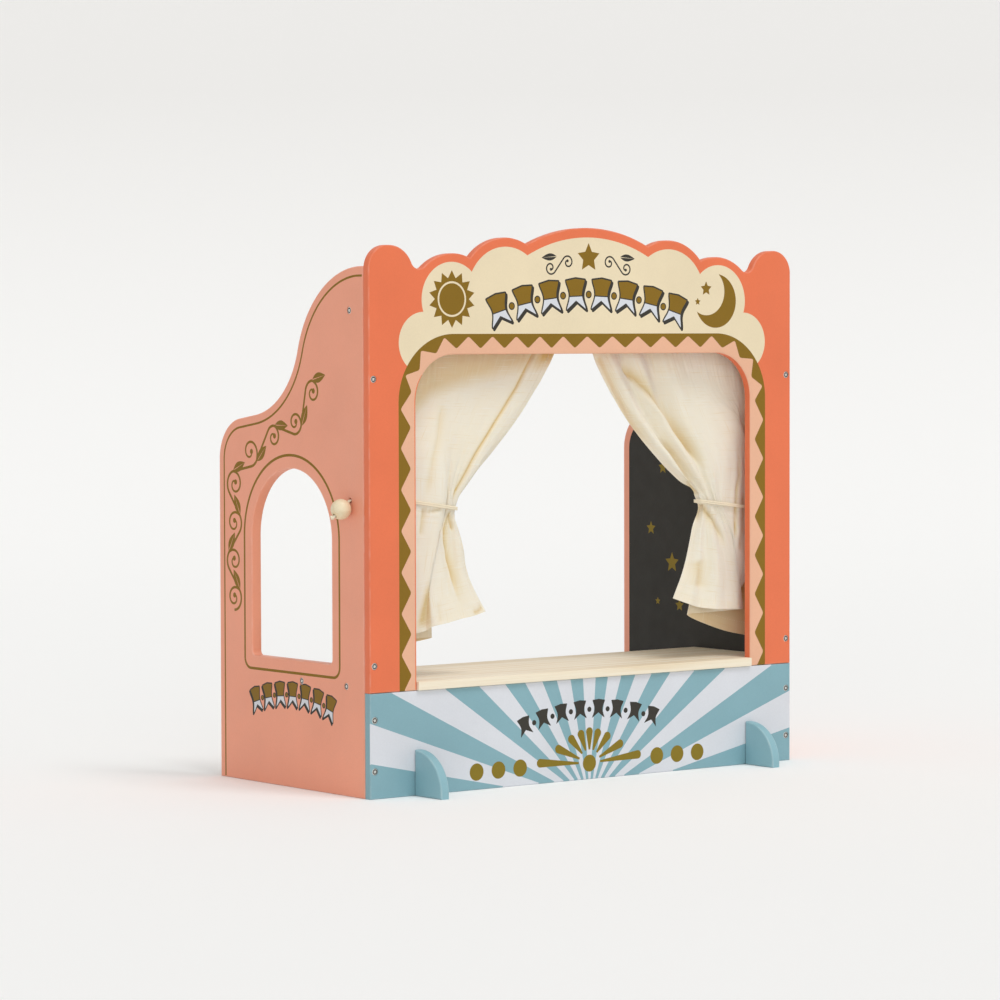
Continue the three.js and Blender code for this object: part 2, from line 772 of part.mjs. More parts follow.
/** A curtain's cloth, modelled on the right and mirrored to the left. */
function curtain(side) {
  const stations = side < 0 ? leftStations : rightStations;
  const geometry = geometryOf(solidOf(cloth(curtainRows(stations), clothThickness)));
  return side < 0 ? mirrorAcross(geometry) : geometry;
}

// Tie cords and pull beads, modelled on the right and mirrored to the left

/** A round tube along a curve. */
function tube(curve, steps, radius = cordRadius) {
  const section = new THREE.Shape(
    Array.from({ length: cordSides }, (_, i) => {
      const angle = (2 * Math.PI * i) / cordSides;
      return new THREE.Vector2(radius * Math.cos(angle), radius * Math.sin(angle));
    }),
  );
  return new THREE.ExtrudeGeometry(section, { extrudePath: curve, steps, bevelEnabled: false });
}

/** A closed loop round a curtain's waist and a tail that reaches into the side board's hole. */
function tieCord(side) {
  const stations = side < 0 ? leftStations : rightStations;
  const { dropShares, acrossShares } = stations.find((station) => station.tied);
  const outermost = Math.min(...acrossShares);
  const near = innerHalf - acrossShares[0] * curtainSpan;
  const far = innerHalf - outermost * curtainSpan;
  const clear = clothThickness / 2 + cordClearance + cordRadius;
  const reach = (far - near) / 2 + clear + loopSlack;
  const depth = foldDepth + clear;
  const heightAt = (x) =>
    rodHeight - THREE.MathUtils.mapLinear(x, near, far, ...dropShares) * curtainDrop;
  const points = Array.from({ length: loopSteps }, (_, i) => {
    const angle = (2 * Math.PI * i) / loopSteps;
    const squared = (value) => Math.sign(value) * Math.abs(value) ** (2 / loopPower);
    const x = (near + far) / 2 + reach * squared(Math.cos(angle));
    return new THREE.Vector3(x, rodSetback + depth * squared(Math.sin(angle)), heightAt(x));
  });
  const loop = new THREE.CatmullRomCurve3(points, true);
  const start = points[0];
  const hole = new THREE.Vector3(innerHalf, start.y, pullHeight);
  const end = new THREE.Vector3(innerHalf + tieOverlap, start.y, pullHeight);
  const rise = new THREE.Vector3(
    THREE.MathUtils.lerp(start.x, hole.x, 1 / 2),
    start.y,
    THREE.MathUtils.lerp(start.z, hole.z, 1 / 2),
  );
  const tail = new THREE.CatmullRomCurve3([start, rise, hole, end]);
  const geometry = join([closedTube(loop, loopSteps), tube(tail, tailSteps)]);
  return side < 0 ? mirrorAcross(geometry) : geometry;
}

/** A tube along a closed curve, with its section kept upright. */
function closedTube(curve, steps) {
  const up = new THREE.Vector3(0, 0, 1);
  const ring = Array.from({ length: steps }, (_, i) => {
    const place = curve.getPoint(i / steps);
    const outward = new THREE.Vector3().crossVectors(curve.getTangent(i / steps), up).normalize();
    return Array.from({ length: cordSides }, (_, j) => {
      const angle = (2 * Math.PI * j) / cordSides;
      return place
        .clone()
        .addScaledVector(outward, cordRadius * Math.cos(angle))
        .addScaledVector(up, cordRadius * Math.sin(angle));
    });
  });
  const triangles = [];
  const vertex = (i, j) => (i % steps) * cordSides + (j % cordSides);
  for (let i = 0; i < steps; i++)
    for (let j = 0; j < cordSides; j++) {
      const [a, b, c, d] = [vertex(i, j), vertex(i + 1, j), vertex(i + 1, j + 1), vertex(i, j + 1)];
      triangles.push(a, b, c, a, c, d);
    }
  const geometry = new THREE.BufferGeometry().setFromPoints(ring.flat());
  geometry.setIndex(triangles);
  return geometry;
}

const beadPlace = new THREE.Vector3(
  halfWidth + beadRadius + pieceClearance,
  rodSetback,
  pullHeight - beadDrop,
);
const beadAim = new THREE.Vector3(halfWidth, rodSetback, pullHeight).sub(beadPlace).normalize();

/** A turned bead with a bore, its bore pointing up to the cord's hole. */
function pullBead(side) {
  const mouth = Math.asin(beadBore / beadRadius);
  const profile = Array.from({ length: beadRings + 1 }, (_, i) => {
    const angle = mouth + ((Math.PI - 2 * mouth) * i) / beadRings;
    return new THREE.Vector2(beadRadius * Math.sin(angle), -beadRadius * Math.cos(angle));
  });
  profile.push(profile[0].clone());
  const geometry = aim(new THREE.LatheGeometry(profile, roundSides), beadPlace, beadAim);
  return side < 0 ? mirrorAcross(geometry) : geometry;
}

/** The cord from the hole through the bead to its stopper knot. */
function pullCord(side) {
  const inner = new THREE.Vector3(
    innerHalf + tieOverlap + pieceClearance,
    rodSetback,
    pullHeight,
  );
  const mouth = new THREE.Vector3(halfWidth, rodSetback, pullHeight);
  const half = Math.sqrt(beadRadius ** 2 - beadBore ** 2);
  const above = beadPlace.clone().addScaledVector(beadAim, half);
  const knotAt = beadPlace
    .clone()
    .addScaledVector(beadAim, -half - pieceClearance - knotRadius);
  const route = new THREE.CatmullRomCurve3([
    inner,
    inner.clone().lerp(mouth, 1 / 2),
    mouth,
    above,
    beadPlace,
    knotAt,
  ]);
  const knot = new THREE.SphereGeometry(knotRadius, cordSides, cordSides);
  aim(knot, knotAt, beadAim);
  const geometry = join([tube(route, pullSteps), knot]);
  return side < 0 ? mirrorAcross(geometry) : geometry;
}

// Assembly

const theater = new THREE.Group();
theater.position.set(0, frontOffset, 0);

/** Adds one named piece to the theater. */
function add(name, geometry, material) {
  const mesh = new THREE.Mesh(geometry, material);
  mesh.name = name;
  theater.add(mesh);
}

/** Adds a row of screws, numbered from the first. */
function addScrews(name, places) {
  places.forEach((place, i) => add(`${name}_${i + 1}`, screw(place), steel()));
}

add("front_arch_board", archBoard(), coralPaint());
add("front_lower_board", lowerBoard(), tealPaint());
add("stage_shelf", stageShelf(), paleWood());
add("curtain_rod", curtainRod(), paleWood());
for (const [name, side] of [["left", -1], ["right", 1]]) {
  add(`${name}_side_board`, sideBoard(side), pinkPaint());
  add(`${name}_foot`, foot(side), tealPaint());
  add(`${name}_curtain`, curtain(side), linen());
  add(`${name}_tie_cord`, tieCord(side), cottonCord());
  add(`${name}_pull_cord`, pullCord(side), cottonCord());
  add(`${name}_pull_bead`, pullBead(side), paleWood());
  addScrews(`${name}_front_screw`, frontScrews(side));
  addScrews(`${name}_shelf_screw`, shelfScrews(side));
  addScrews(`${name}_rod_screw`, rodScrews(side));
  addScrews(`${name}_foot_screw`, footScrews(side));
}

export default theater;
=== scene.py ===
"""Looks of a children's wooden tabletop puppet theater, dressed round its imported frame.

Sizes are millimetres: x to the right, y back from the front face of the boards and z up.
Each piece turns them into metres in the frame when it builds its mesh.
"""

from __future__ import annotations

import logging
import math
from dataclasses import dataclass, field
from enum import Enum
from typing import Callable, Iterable, Sequence

import bmesh
import bpy
import numpy as np
from mathutils import Matrix, Vector, noise
from mathutils.geometry import delaunay_2d_cdt

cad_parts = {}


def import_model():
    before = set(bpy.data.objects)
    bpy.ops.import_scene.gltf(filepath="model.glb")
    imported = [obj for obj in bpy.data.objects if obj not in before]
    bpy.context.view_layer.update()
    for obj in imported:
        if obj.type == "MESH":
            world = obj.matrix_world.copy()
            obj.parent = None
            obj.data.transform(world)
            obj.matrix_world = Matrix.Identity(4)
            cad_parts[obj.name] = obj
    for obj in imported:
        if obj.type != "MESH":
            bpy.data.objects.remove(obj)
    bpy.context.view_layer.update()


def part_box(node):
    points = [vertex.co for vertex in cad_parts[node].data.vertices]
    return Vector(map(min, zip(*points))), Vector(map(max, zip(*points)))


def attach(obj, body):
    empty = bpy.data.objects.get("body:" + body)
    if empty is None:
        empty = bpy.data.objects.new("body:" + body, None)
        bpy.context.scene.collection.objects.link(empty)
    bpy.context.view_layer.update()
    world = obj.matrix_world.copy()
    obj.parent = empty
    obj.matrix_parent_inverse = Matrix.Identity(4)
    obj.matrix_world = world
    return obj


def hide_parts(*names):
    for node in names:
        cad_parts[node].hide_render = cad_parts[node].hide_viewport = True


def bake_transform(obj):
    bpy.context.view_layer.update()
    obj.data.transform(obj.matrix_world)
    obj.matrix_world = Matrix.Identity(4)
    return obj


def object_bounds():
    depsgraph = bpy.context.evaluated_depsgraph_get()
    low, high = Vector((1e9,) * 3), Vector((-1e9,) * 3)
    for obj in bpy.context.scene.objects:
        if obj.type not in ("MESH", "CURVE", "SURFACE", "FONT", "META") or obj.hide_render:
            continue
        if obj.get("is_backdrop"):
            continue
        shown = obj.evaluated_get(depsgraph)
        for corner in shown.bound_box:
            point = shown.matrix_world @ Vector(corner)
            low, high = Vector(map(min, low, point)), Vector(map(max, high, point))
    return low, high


log = logging.getLogger("puppet_theater")

MM = 0.001
ARC_STEP = 2.0  # degrees
SAME_POINT = 0.02  # points of an outline nearer than this are one
CURL_HEART = 0.22  # a scroll's heart, as a share of its curl's radius
Points = np.ndarray
Socket = bpy.types.NodeSocket
Thing = bpy.types.Object


class Side(Enum):
    """A side of the theater, as the audience sees it."""

    LEFT = -1
    RIGHT = 1

    @property
    def word(self) -> str:
        """The side's word in piece names."""
        return self.name.lower()


SIDES = (Side.LEFT, Side.RIGHT)


# Flat shapes


def unit(angles: Points | float) -> Points:
    """The direction of length one at each angle in radians."""
    return np.stack((np.cos(angles), np.sin(angles)), axis=-1)


def leftward(ways: Points) -> Points:
    """Each flat direction turned a quarter to its left."""
    return np.stack((-ways[..., 1], ways[..., 0]), axis=-1)


def normalised(ways: Points) -> Points:
    """Each direction brought to length one."""
    return ways / np.maximum(np.linalg.norm(ways, axis=-1, keepdims=True), 1e-9)


def travel(line: Points) -> Points:
    """Each point's length along a line from its start."""
    return np.concatenate(((0.0,), np.cumsum(np.linalg.norm(np.diff(line, axis=0), axis=1))))


def sampled(rows: Points, runs: Points, spots: Points) -> Points:
    """Rows that belong to lengths along a line, read at other lengths."""
    return np.column_stack([np.interp(spots, runs, column) for column in rows.T])


def wall(a: int, b: int, count: int, flip: bool = False) -> list[tuple[int, ...]]:
    """Quads between two closed rows of points.

    Args:
        a: the number of the first row's first point.
        b: the number of the second row's first point.
        count: the points in a row.
        flip: whether the quads face the other way.

    Returns:
        The quads.
    """
    pairs = [(i, (i + 1) % count) for i in range(count)]
    if flip:
        return [(a + i, a + j, b + j, b + i) for i, j in pairs]
    return [(a + i, b + i, b + j, a + j) for i, j in pairs]


def arc(centre: Sequence[float], radius: float, start: float, end: float) -> Points:
    """Points along an arc.

    Args:
        centre: the arc's centre.
        radius: its radius.
        start: its first angle in degrees.
        end: its last angle in degrees.

    Returns:
        The points, both ends included.
    """
    count = max(2, math.ceil(abs(end - start) / ARC_STEP))
    angles = np.radians(np.linspace(start, end, count + 1))
    return np.asarray(centre) + radius * unit(angles)


def circle(centre: Sequence[float], radius: float, count: int = 40) -> Points:
    """A closed circle of evenly spaced points, counterclockwise."""
    angles = np.linspace(0, math.tau, count, endpoint=False)
    return np.asarray(centre) + radius * unit(angles)


def bearing(centre: Sequence[float], point: Sequence[float]) -> float:
    """Angle in degrees from a centre to a point."""
    return math.degrees(math.atan2(point[1] - centre[1], point[0] - centre[0]))


def meet(a: Points, radius_a: float, b: Points, radius_b: float) -> Points:
    """The point where two circles meet, on the left of the way from a to b.

    Args:
        a: the first circle's centre.
        radius_a: its radius.
        b: the second circle's centre.
        radius_b: its radius.

    Returns:
        The point.
    """
    across = normalised(b - a)
    distance = float(np.linalg.norm(b - a))
    along = (distance**2 + radius_a**2 - radius_b**2) / (2 * distance)
    aside = math.sqrt(max(0.0, radius_a**2 - along**2))
    return a + across * along + leftward(across) * aside


def chained(*runs: Points) -> Points:
    """Runs of points as one closed outline without repeated points.

    Args:
        runs: the runs, in order.

    Returns:
        The outline.
    """
    points = np.vstack(runs)
    gaps = np.linalg.norm(points - np.roll(points, 1, axis=0), axis=1)
    return points[gaps > SAME_POINT]


def mirrored(points: Points) -> Points:
    """The same outline mirrored across the middle, with its turning sense kept."""
    return (points * np.array((-1.0, 1.0)))[::-1]


def inset(loop: Points, distance: float) -> Points:
    """A closed outline moved to its left by a distance, with mitred corners.

    Args:
        loop: the outline.
        distance: how far it moves.

    Returns:
        The moved outline.
    """
    normal = leftward(normalised(np.roll(loop, -1, axis=0) - loop))
    before = np.roll(normal, 1, axis=0)
    share = 1 + np.einsum("ij,ij->i", normal, before)
    return loop + distance * (normal + before) / np.maximum(share, 0.2)[:, None]


def swollen(loop: Points, distance: float) -> Points:
    """A closed counterclockwise outline grown by a distance, with round outer corners.

    Args:
        loop: the outline.
        distance: how far it grows.

    Returns:
        The grown outline.
    """
    grown = []
    for before, here, after in zip(np.roll(loop, 1, axis=0), loop, np.roll(loop, -1, axis=0)):
        start = bearing(before, here) - 90
        turn = (bearing(here, after) - 90 - start + 180) % 360 - 180
        if turn > 0:
            grown.extend(arc(here, distance, start, start + turn)[:: max(1, int(turn) // 40 + 1)])
            continue
        middle = math.radians(start + turn / 2)
        reach = distance / max(0.35, math.cos(math.radians(turn / 2)))
        grown.append(here + reach * unit(middle))
    return np.array(grown)


def ribbon(line: Points, widths: float | Points) -> Points:
    """A closed outline round an open line.

    Args:
        line: the middle line.
        widths: the full width, or one for each point.

    Returns:
        The outline, counterclockwise along the line's right side.
    """
    normal = leftward(normalised(np.gradient(line, axis=0)))
    half = np.broadcast_to(np.asarray(widths, float) / 2, (len(line),))[:, None]
    return np.vstack((line - normal * half, (line + normal * half)[::-1]))


def band(loop: Points, width: float) -> list[Points]:
    """A ring of even width round a closed counterclockwise outline, as an outer and an inner loop."""
    return [inset(loop, -width / 2), inset(loop, width / 2)[::-1]]


def star(centre: Sequence[float], outer: float, tips: int = 5, share: float = 0.4) -> Points:
    """A star with one tip up.

    Args:
        centre: its middle.
        outer: the radius of its tips.
        tips: how many it has.
        share: the radius of its notches as a share of the tips' radius.

    Returns:
        The outline, counterclockwise.
    """
    angles = math.pi / 2 + np.arange(2 * tips) * math.pi / tips
    radii = np.where(np.arange(2 * tips) % 2 == 0, outer, outer * share)
    return np.asarray(centre) + radii[:, None] * unit(angles)


def filleted(points: Points, radius: float, steps: int = 5) -> Points:
    """An open line whose inner corners are rounded.

    Args:
        points: the line's corners.
        radius: how far the round reaches along each leg.
        steps: points in each round.

    Returns:
        The rounded line.
    """
    runs = [points[:1]]
    share = np.linspace(0, 1, steps + 1)[:, None]
    for before, corner, after in zip(points, points[1:], points[2:]):
        start = corner + normalised(before - corner) * radius
        end = corner + normalised(after - corner) * radius
        runs.append((1 - share) ** 2 * start + 2 * share * (1 - share) * corner + share**2 * end)
    return np.vstack([*runs, points[-1:]])


def clipped(polygon: Points, low: Sequence[float], high: Sequence[float]) -> Points:
    """A convex polygon cut to the rectangle between two corners.

    Args:
        polygon: its corners in order.
        low: the rectangle's lowest corner.
        high: its highest corner.

    Returns:
        What is left, with fewer than three points where it is nothing.
    """
    for axis in (0, 1):
        for limit, sign in ((low[axis], 1), (high[axis], -1)):
            kept = []
            for a, b in zip(polygon, np.roll(polygon, -1, axis=0)):
                inside_a, inside_b = sign * (a[axis] - limit), sign * (b[axis] - limit)
                if inside_a >= 0:
                    kept.append(a)
                if inside_a * inside_b < 0:
                    kept.append(a + (b - a) * inside_a / (inside_a - inside_b))
            polygon = np.array(kept)
            if len(polygon) < 3:
                return polygon
    return polygon


def spline(points: Points, cells: int) -> Points:
    """Samples a centripetal Catmull-Rom curve at even steps of its parameter.

    Args:
        points: what the curve passes through, as rows of any dimension.
        cells: how many steps.

    Returns:
        cells + 1 points.
    """
    ends = (2 * points[0] - points[1], 2 * points[-1] - points[-2])
    padded = np.vstack((ends[0], points, ends[1]))
    step = np.maximum(np.linalg.norm(np.diff(padded, axis=0), axis=1), 1e-6) ** 0.5
    t = np.linspace(0, len(points) - 1, cells + 1)
    i = np.minimum(t.astype(int), len(points) - 2)
    w = (t - i)[:, None]
    x0, x1, x2, x3 = (padded[i + k] for k in range(4))
    d0, d1, d2 = (step[i + k][:, None] for k in range(3))
    t1 = ((x1 - x0) / d0 - (x2 - x0) / (d0 + d1) + (x2 - x1) / d1) * d1
    t2 = ((x2 - x1) / d1 - (x3 - x1) / (d1 + d2) + (x3 - x2) / d2) * d1
    return x1 + t1 * w + (3 * (x2 - x1) - 2 * t1 - t2) * w**2 + (2 * (x1 - x2) + t1 + t2) * w**3


def winding(places: Points, loop: Points) -> Points:
    """How many times a closed loop goes round each place.

    Args:
        places: the places, one in each row.
        loop: the loop.

    Returns:
        A whole number for each place.
    """
    a, b = loop, np.roll(loop, -1, axis=0)
    x, y = places[:, :1], places[:, 1:]
    side = (b[:, 0] - a[:, 0]) * (y - a[:, 1]) - (x - a[:, 0]) * (b[:, 1] - a[:, 1])
    up = (a[:, 1] <= y) & (b[:, 1] > y) & (side > 0)
    down = (a[:, 1] > y) & (b[:, 1] <= y) & (side < 0)
    return up.sum(axis=1) - down.sum(axis=1)


# Ornaments, all drawn by rule


def scroll(start: Points, end: Points, radius: float, hand: int, turns: float = 1.1) -> Points:
    """The middle line of an S-shaped scroll between two curls.

    Args:
        start: the middle of the first curl.
        end: the middle of the second curl.
        radius: the curls' outer radius.
        hand: 1 or -1, which way the first curl turns.
        turns: how far each curl winds.

    Returns:
        The line from the heart of one curl to the heart of the other.
    """
    span = end - start
    heading = math.atan2(span[1], span[0])
    leave = heading + hand * math.acos(min(1.0, 2 * radius / float(np.linalg.norm(span))))
    share = np.linspace(0, 1, 46)[:, None]
    angle = leave + hand * (1 - share[:, 0]) * turns * math.tau
    curl = start + radius * (CURL_HEART + (1 - CURL_HEART) * share**0.8) * unit(angle)
    return np.vstack((curl, (start + end - curl)[::-1]))


def leaf(base: Points, tip: Points, width: float) -> list[Points]:
    """A pointed leaf in two halves with a bare vein between them.

    Args:
        base: its stalk's end.
        tip: its point.
        width: its full width.

    Returns:
        Two closed outlines.
    """
    along = tip - base
    aside = normalised(leftward(along))
    share = np.linspace(0, 1, 15)[:, None]
    vein = 0.045 * width * (1 - share)
    bulge = np.maximum(np.sin(math.pi * share**0.85) * width / 2, vein)
    middle = base + along * share
    return [chained(middle + s * vein, (middle + s * bulge)[::-1]) for s in (aside, -aside)]


def counterclockwise(loop: Points) -> Points:
    """The same loop, turned so that its inside is on its left.

    Args:
        loop: the loop.

    Returns:
        The loop, reversed where it was clockwise.
    """
    x, y = loop[:, 0], loop[:, 1]
    area = float(np.sum(x * np.roll(y, -1) - np.roll(x, -1) * y))
    return loop if area > 0 else loop[::-1]


# Finishes


class Tree:
    """A short way to build a node tree."""

    def __init__(self, tree: bpy.types.NodeTree) -> None:
        """Keeps the tree that nodes are added to."""
        self.tree = tree

    def add(self, kind: str, inputs: dict | None = None, **settings: object) -> bpy.types.Node:
        """Adds a node.

        Args:
            kind: the node's type.
            inputs: sockets or values by input name or number.
            settings: properties of the node.

        Returns:
            The node.
        """
        node = self.tree.nodes.new(kind)
        for name, value in settings.items():
            setattr(node, name, value)
        for key, value in (inputs or {}).items():
            if isinstance(value, Socket):
                self.tree.links.new(value, node.inputs[key])
            else:
                node.inputs[key].default_value = value
        return node

    def out(self, kind: str, inputs: dict | None = None, **settings: object) -> Socket:
        """The first output of a node added as add() does."""
        return self.add(kind, inputs, **settings).outputs[0]

    def place(self) -> Socket:
        """The Object coordinates."""
        return self.add("ShaderNodeTexCoord").outputs["Object"]

    def mark(self, name: str) -> Socket:
        """The value of one of the piece's own attributes."""
        return self.add("ShaderNodeAttribute", attribute_name=name).outputs["Fac"]

    def math(self, operation: str, *values: object) -> Socket:
        """A math node's output."""
        return self.out("ShaderNodeMath", dict(enumerate(values)), operation=operation)

    def times(self, a: object, b: object) -> Socket:
        """A product."""
        return self.math("MULTIPLY", a, b)

    def plus(self, a: object, b: object) -> Socket:
        """A sum."""
        return self.math("ADD", a, b)

    def noise(self, vector: object, scale: float, detail: float = 2.0) -> Socket:
        """A noise texture's value."""
        inputs = {"Vector": vector, "Scale": scale, "Detail": detail}
        return self.out("ShaderNodeTexNoise", inputs)

    def stretched(self, vector: object, scale: Sequence[float]) -> Socket:
        """A vector scaled by its own amount along each axis."""
        inputs = {"Vector": vector, "Scale": tuple(scale)}
        return self.out("ShaderNodeMapping", inputs)

    def ranged(self, value: object, low: float, high: float, to: Sequence[float]) -> Socket:
        """A value mapped from between low and high to between the two values of to."""
        inputs = {0: value, 1: low, 2: high, 3: to[0], 4: to[1]}
        return self.out("ShaderNodeMapRange", inputs)

    def mix(self, factor: object, a: object, b: object, blend: str = "MIX") -> Socket:
        """A mix of two colours."""
        node = self.add("ShaderNodeMix", {0: factor, 6: a, 7: b}, data_type="RGBA", blend_type=blend)
        return node.outputs[2]

    def bump(self, height: object, distance: float, strength: float = 1.0) -> Socket:
        """A normal from a height, with the height's full depth in metres."""
        inputs = {"Height": height, "Distance": distance, "Strength": strength}
        return self.out("ShaderNodeBump", inputs)


class Group:
    """A shader node group with named sockets, built once."""

    def __init__(self, name: str, floats: dict[str, float], outputs: Sequence[str]) -> None:
        """Makes the group's sockets.

        Args:
            name: the group's name.
            floats: its number inputs and their defaults; it also has a colour input.
            outputs: Colour, Value or Normal outputs, by name.
        """
        self.data = bpy.data.node_groups.new(name, "ShaderNodeTree")
        face = self.data.interface
        face.new_socket("Colour", in_out="INPUT", socket_type="NodeSocketColor")
        for key, value in floats.items():
            face.new_socket(key, in_out="INPUT", socket_type="NodeSocketFloat").default_value = value
        kinds = {"Colour": "NodeSocketColor", "Normal": "NodeSocketVector"}
        for key in outputs:
            face.new_socket(key, in_out="OUTPUT", socket_type=kinds.get(key, "NodeSocketFloat"))
        self.tree = Tree(self.data)
        self.inputs = self.tree.add("NodeGroupInput").outputs
        self.ends = self.tree.add("NodeGroupOutput").inputs

    def give(self, **sockets: object) -> None:
        """Links sockets to the group's outputs by name."""
        for key, value in sockets.items():
            self.data.links.new(value, self.ends[key])


def satin_skin() -> Group:
    """Brushed and sanded satin paint: faint mottle, orange peel and uneven gloss.

    Returns:
        The group.
    """
    group = Group("satin skin", {"Peel": 1.0, "Gloss": 0.42}, ("Colour", "Roughness", "Normal"))
    tree, given = group.tree, group.inputs
    place = tree.place()
    mottle = tree.ranged(tree.noise(place, 14.0, 3.0), 0.3, 0.7, (0.965, 1.03))
    speck = tree.ranged(tree.noise(place, 620.0, 1.0), 0.3, 0.7, (0.985, 1.012))
    shade = tree.times(mottle, speck)
    colour = tree.mix(1.0, given["Colour"], shade, "MULTIPLY")
    uneven = tree.ranged(tree.noise(place, 55.0, 4.0), 0.3, 0.7, (-0.05, 0.06))
    gloss = tree.plus(given["Gloss"], uneven)
    peel = tree.times(tree.noise(place, 330.0, 2.0), given["Peel"])
    group.give(Colour=colour, Roughness=gloss, Normal=tree.bump(peel, 0.00006))
    return group


def worn_edge() -> Group:
    """Paint rubbed thin along the rounded edges, by the board's own edge attribute.

    Returns:
        The group.
    """
    group = Group("worn edge", {"Amount": 0.5}, ("Colour",))
    tree, given = group.tree, group.inputs
    edge = tree.mark("edge")
    place = tree.place()
    patch = tree.ranged(tree.noise(place, 70.0, 5.0), 0.42, 0.66, (0.15, 1.0))
    mask = tree.times(tree.times(edge, patch), given["Amount"])
    pale = tree.mix(0.35, given["Colour"], (1.0, 0.95, 0.88, 1.0))
    group.give(Colour=tree.mix(mask, given["Colour"], pale))
    return group


def pine_grain() -> Group:
    """Pale sawn wood: long growth bands, fine fibres and a few darker streaks along x.

    Returns:
        The group.
    """
    floats = {"Contrast": 1.0, "Gloss": 0.55}
    group = Group("pine grain", floats, ("Colour", "Roughness", "Normal"))
    tree, given = group.tree, group.inputs
    place = tree.place()
    drift = tree.noise(tree.stretched(place, (2.2, 9.0, 9.0)), 1.0, 2.0)
    drift = tree.times(drift, 0.035)
    drifting = tree.out("ShaderNodeVectorMath", {0: place, 1: drift}, operation="ADD")
    bands = tree.noise(tree.stretched(drifting, (1.3, 62.0, 62.0)), 1.6, 3.0)
    fibres = tree.noise(tree.stretched(place, (14.0, 900.0, 900.0)), 1.0, 2.0)
    streaks = tree.noise(tree.stretched(place, (5.0, 240.0, 240.0)), 1.0, 3.0)
    dark = tree.ranged(bands, 0.44, 0.62, (0.0, 0.55))
    dark = tree.plus(dark, tree.ranged(fibres, 0.35, 0.75, (0.0, 0.3)))
    dark = tree.plus(dark, tree.ranged(streaks, 0.58, 0.72, (0.0, 0.35)))
    dark = tree.times(dark, given["Contrast"])
    deep = tree.mix(1.0, given["Colour"], (0.80, 0.66, 0.47, 1.0), "MULTIPLY")
    gloss = tree.plus(given["Gloss"], tree.ranged(fibres, 0.3, 0.7, (-0.06, 0.08)))
    height = tree.times(fibres, -1.0)
    group.give(
        Colour=tree.mix(dark, given["Colour"], deep), Roughness=gloss,
        Normal=tree.bump(height, 0.00005),
    )
    return group


def linen_weave() -> Group:
    """A plain weave in the cloth's own map, with slubs along both threads, and painted golden shade where
    the cloth's attribute marks creases, the header's shadow and the back layers.

    Returns:
        The group.
    """
    floats = {"Pitch": 0.00085, "Slubs": 1.0}
    group = Group("linen weave", floats, ("Colour", "Roughness", "Normal"))
    tree, given = group.tree, group.inputs
    flat = tree.out("ShaderNodeUVMap", uv_map="cloth")
    wobble = tree.noise(flat, 90.0, 2.0)
    parts = tree.add("ShaderNodeSeparateXYZ", {0: flat})
    threads = []
    for key in ("X", "Y"):
        shifted = tree.plus(parts.outputs[key], tree.times(wobble, 0.0011))
        turns = tree.math("DIVIDE", shifted, given["Pitch"])
        threads.append(tree.math("SINE", tree.times(turns, math.tau)))
    over = tree.times(threads[0], threads[1])
    warp = tree.noise(tree.stretched(flat, (620.0, 24.0, 1.0)), 1.0, 3.0)
    weft = tree.noise(tree.stretched(flat, (20.0, 620.0, 1.0)), 1.0, 3.0)
    thick = tree.math("MAXIMUM", warp, weft)
    slub = tree.times(tree.ranged(thick, 0.60, 0.78, (0.0, 1.0)), given["Slubs"])
    thin = tree.ranged(tree.math("MINIMUM", warp, weft), 0.24, 0.40, (1.0, 0.0))
    cloud = tree.ranged(tree.noise(flat, 16.0, 3.0), 0.3, 0.7, (0.0, 0.15))
    warm = tree.mix(1.0, given["Colour"], (0.90, 0.81, 0.64, 1.0), "MULTIPLY")
    shade = tree.plus(tree.times(thin, 0.6), cloud)
    shade = tree.plus(shade, tree.ranged(over, -1.0, 1.0, (0.1, 0.0)))
    colour = tree.mix(shade, given["Colour"], warm)
    # Painted shade: the cloth's attribute darkens the colour towards a golden tan in creases, under the
    # header's shadow and on the back layers.
    fold = tree.mark("fold")
    shade_tone = tree.mix(1.0, given["Colour"], (0.76, 0.60, 0.29, 1.0), "MULTIPLY")
    colour = tree.mix(fold, colour, shade_tone)
    pale = tree.mix(tree.times(slub, 0.55), colour, (0.97, 0.95, 0.88, 1.0))
    height = tree.plus(tree.times(over, 0.35), slub)
    group.give(
        Colour=pale, Roughness=tree.ranged(slub, 0.0, 1.0, (0.95, 0.82)),
        Normal=tree.bump(height, 0.00022, 0.7),
    )
    return group


def pressed_steel() -> Group:
    """Plated steel with painted shade that turns it almost black in the cross recess, by the head's own
    recess attribute.

    Returns:
        The group.
    """
    group = Group("pressed steel", {"Gloss": 0.32}, ("Colour", "Roughness", "Normal"))
    tree, given = group.tree, group.inputs
    # Painted shade: the recess attribute darkens the steel almost to black in the cross recess.
    recess = tree.mark("recess")
    place = tree.place()
    brushed = tree.noise(place, 900.0, 2.0)
    group.give(
        Colour=tree.mix(recess, given["Colour"], (0.03, 0.028, 0.025, 1.0)),
        Roughness=tree.plus(given["Gloss"], tree.times(brushed, 0.1)),
        Normal=tree.bump(brushed, 0.00002),
    )
    return group


GROUP_MAKERS = {
    "satin": satin_skin, "pressed": pressed_steel, "edge": worn_edge, "grain": pine_grain,
    "weave": linen_weave,
}
_groups: dict[str, Group] = {}
_made: dict[str, bpy.types.Material] = {}


def shared_group(key: str) -> bpy.types.NodeTree:
    """A shader node group, made at its first use.

    Args:
        key: its key in GROUP_MAKERS.

    Returns:
        The group's tree.
    """
    if key not in _groups:
        _groups[key] = GROUP_MAKERS[key]()
    return _groups[key].data


def linear(hue: str) -> tuple[float, float, float, float]:
    """A colour written as #rrggbb, in the linear values that shaders use.

    Args:
        hue: the colour.

    Returns:
        Red, green, blue and an alpha of 1.
    """
    shares = [int(hue[i : i + 2], 16) / 255 for i in (1, 3, 5)]
    values = [s / 12.92 if s <= 0.04045 else ((s + 0.055) / 1.055) ** 2.4 for s in shares]
    return (*values, 1.0)


